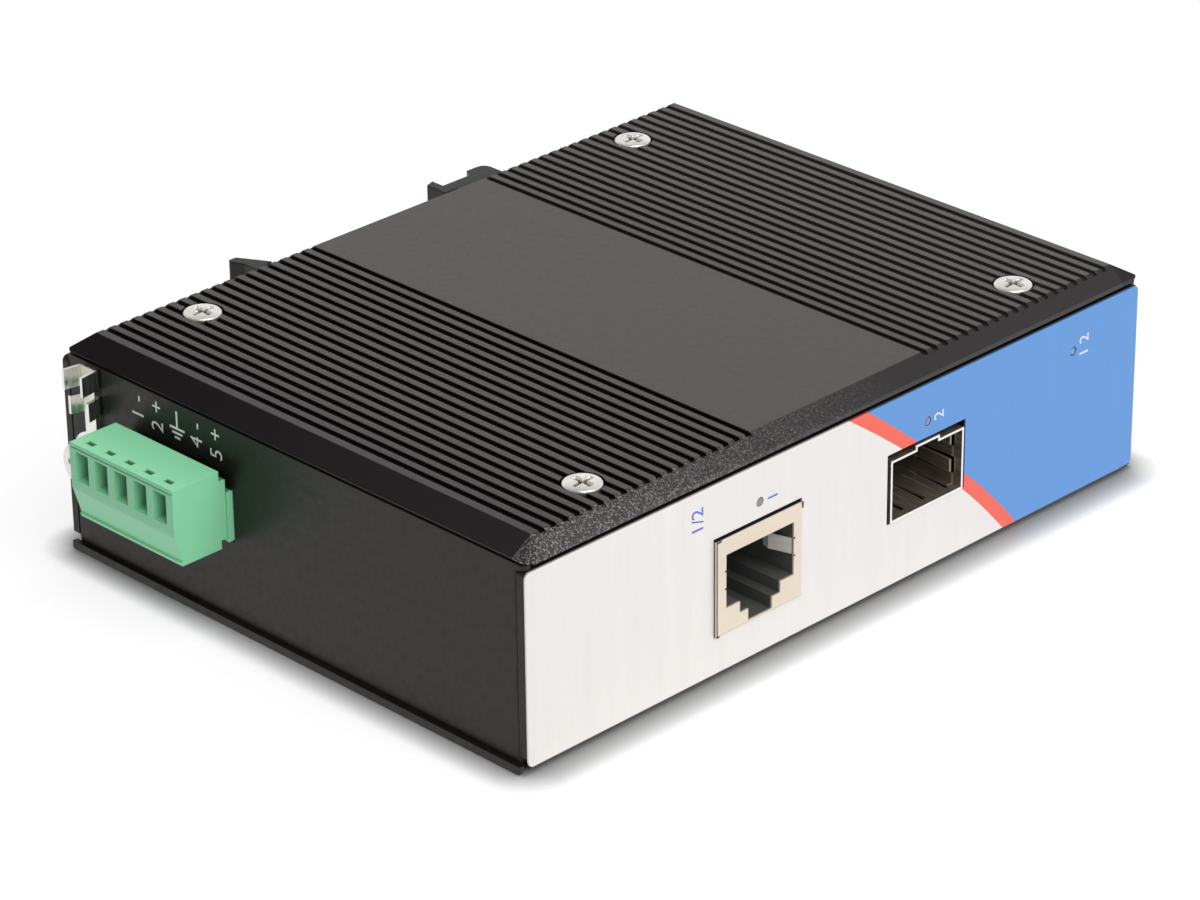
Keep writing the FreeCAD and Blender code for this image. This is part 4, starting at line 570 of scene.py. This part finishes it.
def printed(name, words, size, graph, offset=0.0):
    """A few plain characters as a thin mesh, centred on its own origin; an offset below 0 thins their strokes."""
    text = bpy.data.curves.new(name + "_text", "FONT")
    text.body = words
    text.size = size * MM
    text.align_x = "CENTER"
    text.align_y = "CENTER"
    text.extrude = PRINT_THICK * MM / 2
    text.offset = offset * MM
    text.resolution_u = 4
    carrier = bpy.data.objects.new(name + "_text", text)
    bpy.context.collection.objects.link(carrier)
    bpy.context.view_layer.update()
    mesh = bpy.data.meshes.new_from_object(carrier)
    bpy.data.objects.remove(carrier)
    mesh.name = name
    return shown(name, mesh, graph)


def bars(name, rectangles, graph):
    """Thin printed bars from (left, right, low, high) rectangles."""
    mesh = bmesh.new()
    for left, right, low, high in rectangles:
        made = bmesh.ops.create_cube(mesh, size=1.0)
        size = Vector((right - left, high - low, PRINT_THICK)) * MM
        middle = Vector(((left + right) / 2, (low + high) / 2, 0.0)) * MM
        bmesh.ops.transform(mesh, matrix=Matrix.Translation(middle) @ Matrix.Diagonal(size).to_4x4(),
                            verts=made["verts"])
    return built(name, mesh, graph)


WHITE_INK = ink("white_print", (0.86, 0.87, 0.88))
WALL_INK = ink("wall_print", (0.98, 0.93, 0.96))
BLUE_INK = ink("blue_print", (0.115, 0.170, 0.600))
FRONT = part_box("front_label")[0].y / MM - PRINT_THICK / 2
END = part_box("left_end_wall")[0].x / MM - PRINT_THICK / 2

for name, words, size, across, level, mark_ink in (
    ("mark_pair", "1/2", 2.9, -27.4, 23.6, BLUE_INK),
    ("mark_port_1", "1", 2.6, -14.0, 22.2, BLUE_INK),
    ("mark_port_2", "2", 2.6, 17.1, 22.4, WHITE_INK),
    ("mark_power", "1 2", 2.6, 45.9, 22.4, WHITE_INK),
):
    laid(printed(name, words, size, mark_ink), (across, FRONT, level), UPWARD, LEFTWARD)

POLE_MARK_Z = 25.4
POLE_MARK_SIZE = 3.3
POLE_MARK_OFFSET = -0.015
MINUS_POLES = (1, 4)
EARTH_POLE = 3
EARTH_BARS = ((-2.0, 0.3, -0.16, 0.16), (0.3, 0.62, -1.45, 1.45), (0.95, 1.27, -1.0, 1.0), (1.6, 1.92, -0.55, 0.55))

# Each pole is on the line of its clamp screw's joint
pole_places = sorted((joint["pos_m"][1] / MM for joint in frame["joints"] if joint["type"] == "hinge"), reverse=True)
for number, along in enumerate(pole_places, start=1):
    place = (END, along, POLE_MARK_Z)
    if number == EARTH_POLE:
        laid(bars("mark_earth", EARTH_BARS, WALL_INK), place, DOWNWARD, FORWARD)
    else:
        words = "%d %s" % (number, "-" if number in MINUS_POLES else "+")
        mark = printed("mark_pole_%d" % number, words, POLE_MARK_SIZE, WALL_INK, POLE_MARK_OFFSET)
        laid(mark, place, UPWARD, BACKWARD)


# The copper port's shell: painted shadow gaps at its corners, sprung leaves, and slits painted as shade

jack_low, jack_high = (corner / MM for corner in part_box("jack_shield"))


def prism(name, outline, low, high, graph):
    """Upright prism from an outline of (x, y) points and two levels."""
    mesh = bmesh.new()
    rings = [[mesh.verts.new((x * MM, y * MM, z * MM)) for x, y in outline] for z in (low, high)]
    mesh.faces.new(rings[0])
    mesh.faces.new(rings[1])
    for index in range(len(outline)):
        after = (index + 1) % len(outline)
        mesh.faces.new((rings[0][index], rings[0][after], rings[1][after], rings[1][index]))
    bmesh.ops.recalc_face_normals(mesh, faces=mesh.faces)
    return built(name, mesh, graph)


def on_jack(piece):
    """Lay printed bars on the front face of the port's shell."""
    laid(piece, (0, jack_low.y - PRINT_THICK / 2, 0), RIGHTWARD, UPWARD)


# How far the painted shadow gaps stand past the shell's outline
SHADOW_GAP_PAST = 0.05
# Dark bars paint the shadow gaps at the shell's corners
on_jack(bars("jack_shadow_gaps", (
    (jack_low.x - SHADOW_GAP_PAST, jack_low.x + 0.13, jack_low.z, jack_high.z),
    (jack_low.x, jack_low.x + 0.85, jack_high.z - 0.22, jack_high.z + SHADOW_GAP_PAST),
    (jack_high.x - 0.25, jack_high.x + SHADOW_GAP_PAST, jack_high.z - 0.85, jack_high.z + SHADOW_GAP_PAST),
    (jack_low.x - SHADOW_GAP_PAST, jack_low.x + 0.45, jack_low.z - SHADOW_GAP_PAST, jack_low.z + 0.20),
), mottled("gap_shadow", (0.060, 0.040, 0.035), 0.5, tone=0.1)))

# The port's cavity between its side walls, and the leaves' lower and upper edges
CAVITY_MIDDLE = -16.7
CAVITY_HALF = 6.1
LEAF_LOW, LEAF_HIGH = 12.8, 15.0
# Points of a leaf's outline: how far each is from the cavity's wall, and how far behind the shell's face
LEAF_OUTLINE = ((0.02, 0.35), (1.0, 3.5), (0.65, 4.7), (0.53, 4.7), (0.86, 3.5), (0.0, 0.6))
SLIT_IN, SLIT_OUT = 0.02, 0.25
SLIT_HEIGHT = 0.25
LEAF_METAL = brushed("leaf_metal", (0.80, 0.78, 0.73), 0.35, (300.0, 300.0, 3000.0), 0.15)
# Dark bars paint the shade seen in the slits beside each leaf
SLIT_SHADE = mottled("slit_shade", (0.03, 0.028, 0.026), 0.5, tone=0.1)

for side, sign in (("left", -1), ("right", 1)):
    wall = CAVITY_MIDDLE + sign * CAVITY_HALF
    outline = [(wall - sign * lean, jack_low.y + depth) for lean, depth in LEAF_OUTLINE]
    fixed(prism("jack_leaf_" + side, outline, LEAF_LOW, LEAF_HIGH, LEAF_METAL))
    reach = sorted((wall - sign * SLIT_IN, wall + sign * SLIT_OUT))
    slits = [(*reach, low, low + SLIT_HEIGHT) for low in (LEAF_LOW - SLIT_HEIGHT, LEAF_HIGH)]
    on_jack(bars("jack_slits_" + side, slits, SLIT_SHADE))


# Raised crowns of the cover's screws

HEAD_RADIUS = 2.65
CROWN_RADIUS = 2.56
CROWN_RIM = 0.04
CROWN_RISE = 0.22
CROWN_SKIRT = 0.60
CROWN_ROUNDED_FROM = 0.93
CROWN_ROUNDED_DROP = 0.16
RECESS_HALF_WIDTH = 0.36
RECESS_HALF_LENGTH = 1.60
RECESS_DEPTH = 0.72
RECESS_WALL = 0.14
CROWN_STEPS = 30
CROWN_TURNS = 120


def crown_height(x, y):
    """Height of a crown above the cover's top at a place measured from its own middle."""
    reach = min(math.hypot(x, y) / CROWN_RADIUS, 1.0)
    rounding = CROWN_ROUNDED_DROP * max(0.0, (reach - CROWN_ROUNDED_FROM) / (1.0 - CROWN_ROUNDED_FROM)) ** 2
    height = CROWN_RIM + CROWN_RISE * (1.0 - reach ** 2) - rounding
    arms = max(min(RECESS_HALF_WIDTH - abs(x), RECESS_HALF_LENGTH - abs(y)),
               min(RECESS_HALF_WIDTH - abs(y), RECESS_HALF_LENGTH - abs(x)))
    sink = min(max(arms / RECESS_WALL + 0.5, 0.0), 1.0)
    return height - RECESS_DEPTH * sink


def crowns(name, spots, top, graph):
    """Domed screw crowns with a cross recess, one at each spot, in one mesh."""
    mesh = bmesh.new()
    angles = [2 * math.pi * turn / CROWN_TURNS for turn in range(CROWN_TURNS)]
    for spot in spots:
        rings = []
        for step in range(1, CROWN_STEPS + 1):
            reach = CROWN_RADIUS * step / CROWN_STEPS
            places = [(reach * math.cos(angle), reach * math.sin(angle)) for angle in angles]
            rings.append([mesh.verts.new(((spot[0] + x) * MM, (spot[1] + y) * MM, (top + crown_height(x, y)) * MM))
                          for x, y in places])
        rings.append([mesh.verts.new((vert.co.x, vert.co.y, (top - CROWN_SKIRT) * MM)) for vert in rings[-1]])
        middle = mesh.verts.new((spot[0] * MM, spot[1] * MM, (top + crown_height(0.0, 0.0)) * MM))
        for turn in range(CROWN_TURNS):
            after = (turn + 1) % CROWN_TURNS
            mesh.faces.new((middle, rings[0][turn], rings[0][after]))
            for inner, outer in zip(rings, rings[1:]):
                mesh.faces.new((inner[turn], outer[turn], outer[after], inner[after]))
    for face in mesh.faces:
        face.smooth = True
    return built(name, mesh, graph)


screws_low, screws_high = (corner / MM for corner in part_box("cover_screws"))
head_spots = [(x, y) for x in (screws_low.x + HEAD_RADIUS, screws_high.x - HEAD_RADIUS)
              for y in (screws_low.y + HEAD_RADIUS, screws_high.y - HEAD_RADIUS)]
fixed(crowns("screw_crowns", head_spots, COVER_TOP_Z / MM, FINISHES["bright_screw"]))


# The latch's coil spring, made at one length; the real one shortens as the latch slides

SPRING_WIRE_RADIUS = 0.2
SPRING_TURNS = 6
SPRING_STEPS = 36
SPRING_RING = 12


def coil(name, low, high, graph):
    """Round coil along X that fills a box."""
    mesh = bmesh.new()
    middle = (low + high) / 2
    radius = (high.z - low.z) / 2 - SPRING_WIRE_RADIUS
    length = high.x - low.x - 2 * SPRING_WIRE_RADIUS
    count = SPRING_TURNS * SPRING_STEPS
    rise = length / (SPRING_TURNS * 2 * math.pi)
    turns = [2 * math.pi * index / SPRING_RING for index in range(SPRING_RING)]
    rings = []
    for step in range(count + 1):
        angle = 2 * math.pi * step / SPRING_STEPS
        outward = Vector((0.0, math.cos(angle), math.sin(angle)))
        ahead = Vector((rise, -radius * math.sin(angle), radius * math.cos(angle))).normalized()
        side = ahead.cross(outward)
        start = Vector((low.x + SPRING_WIRE_RADIUS + length * step / count, middle.y, middle.z))
        spokes = [outward * (radius + SPRING_WIRE_RADIUS * math.cos(turn)) + side * SPRING_WIRE_RADIUS * math.sin(turn)
                  for turn in turns]
        rings.append([mesh.verts.new((start + spoke) * MM) for spoke in spokes])
    for ring, after in zip(rings, rings[1:]):
        for index in range(SPRING_RING):
            beside = (index + 1) % SPRING_RING
            mesh.faces.new((ring[index], ring[beside], after[beside], after[index])).smooth = True
    mesh.faces.new(rings[0])
    mesh.faces.new(rings[-1])
    bmesh.ops.recalc_face_normals(mesh, faces=mesh.faces)
    return built(name, mesh, graph)


spring_low, spring_high = (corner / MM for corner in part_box("rail_clip_spring"))
spring = coil("latch_spring", spring_low, spring_high, FINISHES["zinc_steel"])
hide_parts("rail_clip_spring")
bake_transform(spring)


# Camera at the photograph's place

CAMERA_PLACE = Vector((-0.394924, -0.398605, 0.290661))
CAMERA_LENS = 141.70
CAMERA_SENSOR = 36.0
CAMERA_NEAR = 0.01
AZIMUTH, ELEVATION, ROLL = (math.radians(angle) for angle in (-44.585, 26.684, -0.669))

back = Vector((math.sin(AZIMUTH) * math.cos(ELEVATION), -math.cos(AZIMUTH) * math.cos(ELEVATION),
               math.sin(ELEVATION)))
right = Vector((math.cos(AZIMUTH), math.sin(AZIMUTH), 0.0))
up = back.cross(right)
rolled = (right * math.cos(ROLL) + up * math.sin(ROLL), up * math.cos(ROLL) - right * math.sin(ROLL), back)
camera = bpy.data.objects.new("camera", bpy.data.cameras.new("camera"))
camera.data.sensor_width = CAMERA_SENSOR
camera.data.lens = CAMERA_LENS
camera.data.clip_start = CAMERA_NEAR
camera.matrix_world = Matrix.Translation(CAMERA_PLACE) @ Matrix(rolled).transposed().to_4x4()
bpy.context.collection.objects.link(camera)
bpy.context.scene.camera = camera


# Studio

KEY_PLACE = Vector((-0.12, -0.62, 0.92))
KEY_SIZE = 1.0
KEY_POWER = 9.0

# The floor's own paint lights the object; rays that see the studio get less paint and a glow that makes up white
FLOOR_SIZE = 12.0
FLOOR_PAINT = (0.80, 0.80, 0.80)
FLOOR_SEEN_PAINT = (0.30, 0.30, 0.30)
FLOOR_GLOW = 0.80
# How far and how hard the glow that the camera sees fades near the object: a painted contact shadow
CONTACT_REACH = 0.0055
CONTACT_POWER = 4.2

# The world is bright up to a height, dim above it, and dimmer towards -X; heights and sides are of a unit direction
WORLD_BRIGHT = (0.92, 0.92, 0.92)
WORLD_DIM = (0.22, 0.22, 0.22)
WORLD_TOP = (0.50, 0.72)
WORLD_SIDE = (-0.85, -0.05)
WORLD_SIDE_LEVEL = 0.25
WHITE = (1.0, 1.0, 1.0)


def pale_floor():
    """Pale matt floor that reads as white away from the object and keeps its shadow."""
    material = bpy.data.materials.new("pale_floor")
    material.use_nodes = True
    nodes = Nodes(material.node_tree)
    nodes.tree.nodes.clear()
    camera_ray = nodes.ray("Is Camera Ray")
    seen = nodes.either(nodes.either(camera_ray, nodes.ray("Is Glossy Ray")), nodes.ray("Is Transmission Ray"))
    matt = nodes.add("ShaderNodeBsdfDiffuse", {"Color": nodes.blend(seen, FLOOR_PAINT, FLOOR_SEEN_PAINT)})
    # Camera rays see the glow fade near the object: a painted contact shadow from ambient occlusion
    near = nodes.add("ShaderNodeAmbientOcclusion", {"Distance": CONTACT_REACH}, samples=16).outputs["AO"]
    contact = nodes.math("POWER", near, CONTACT_POWER)
    direct = nodes.add("ShaderNodeMix", {"Factor": camera_ray, "A": 1.0, "B": contact}).outputs["Result"]
    level = nodes.math("MULTIPLY", seen, nodes.math("MULTIPLY", direct, FLOOR_GLOW))
    glow = nodes.add("ShaderNodeEmission", {"Strength": level})
    total = nodes.add("ShaderNodeAddShader", {0: matt.outputs[0], 1: glow.outputs[0]})
    nodes.add("ShaderNodeOutputMaterial", {"Surface": total.outputs[0]})
    return material


def studio_world():
    """Soft light from all round, which the camera sees as white."""
    world = bpy.data.worlds.new("studio")
    bpy.context.scene.world = world
    world.use_nodes = True
    nodes = Nodes(world.node_tree)
    direction = nodes.add("ShaderNodeTexCoord").outputs["Generated"]
    across, _, up = nodes.add("ShaderNodeSeparateXYZ", {0: direction}).outputs
    height = nodes.between(up, *WORLD_TOP, 0.0, 1.0, interpolation_type="SMOOTHSTEP")
    walls = nodes.blend(height, WORLD_BRIGHT, WORLD_DIM)
    dimmed = nodes.scaled(walls, nodes.between(across, *WORLD_SIDE, WORLD_SIDE_LEVEL, 1.0))
    background = nodes.tree.nodes["Background"]
    nodes.feed(background.inputs["Color"], nodes.blend(nodes.ray("Is Camera Ray"), dimmed, WHITE))
    nodes.feed(background.inputs["Strength"], 1.0)


def studio():
    """Floor, key light and world."""
    bpy.ops.mesh.primitive_plane_add(size=FLOOR_SIZE)
    floor = bpy.context.active_object
    floor.name = "floor"
    floor.data.materials.append(pale_floor())

    lamp = bpy.data.lights.new("key", "AREA")
    lamp.shape = "SQUARE"
    lamp.size = KEY_SIZE
    lamp.energy = KEY_POWER
    key = bpy.data.objects.new("key", lamp)
    key.location = KEY_PLACE
    key.rotation_euler = KEY_PLACE.to_track_quat("Z", "Y").to_euler()
    bpy.context.collection.objects.link(key)

    studio_world()


studio()
bpy.context.scene.view_settings.view_transform = "Standard"
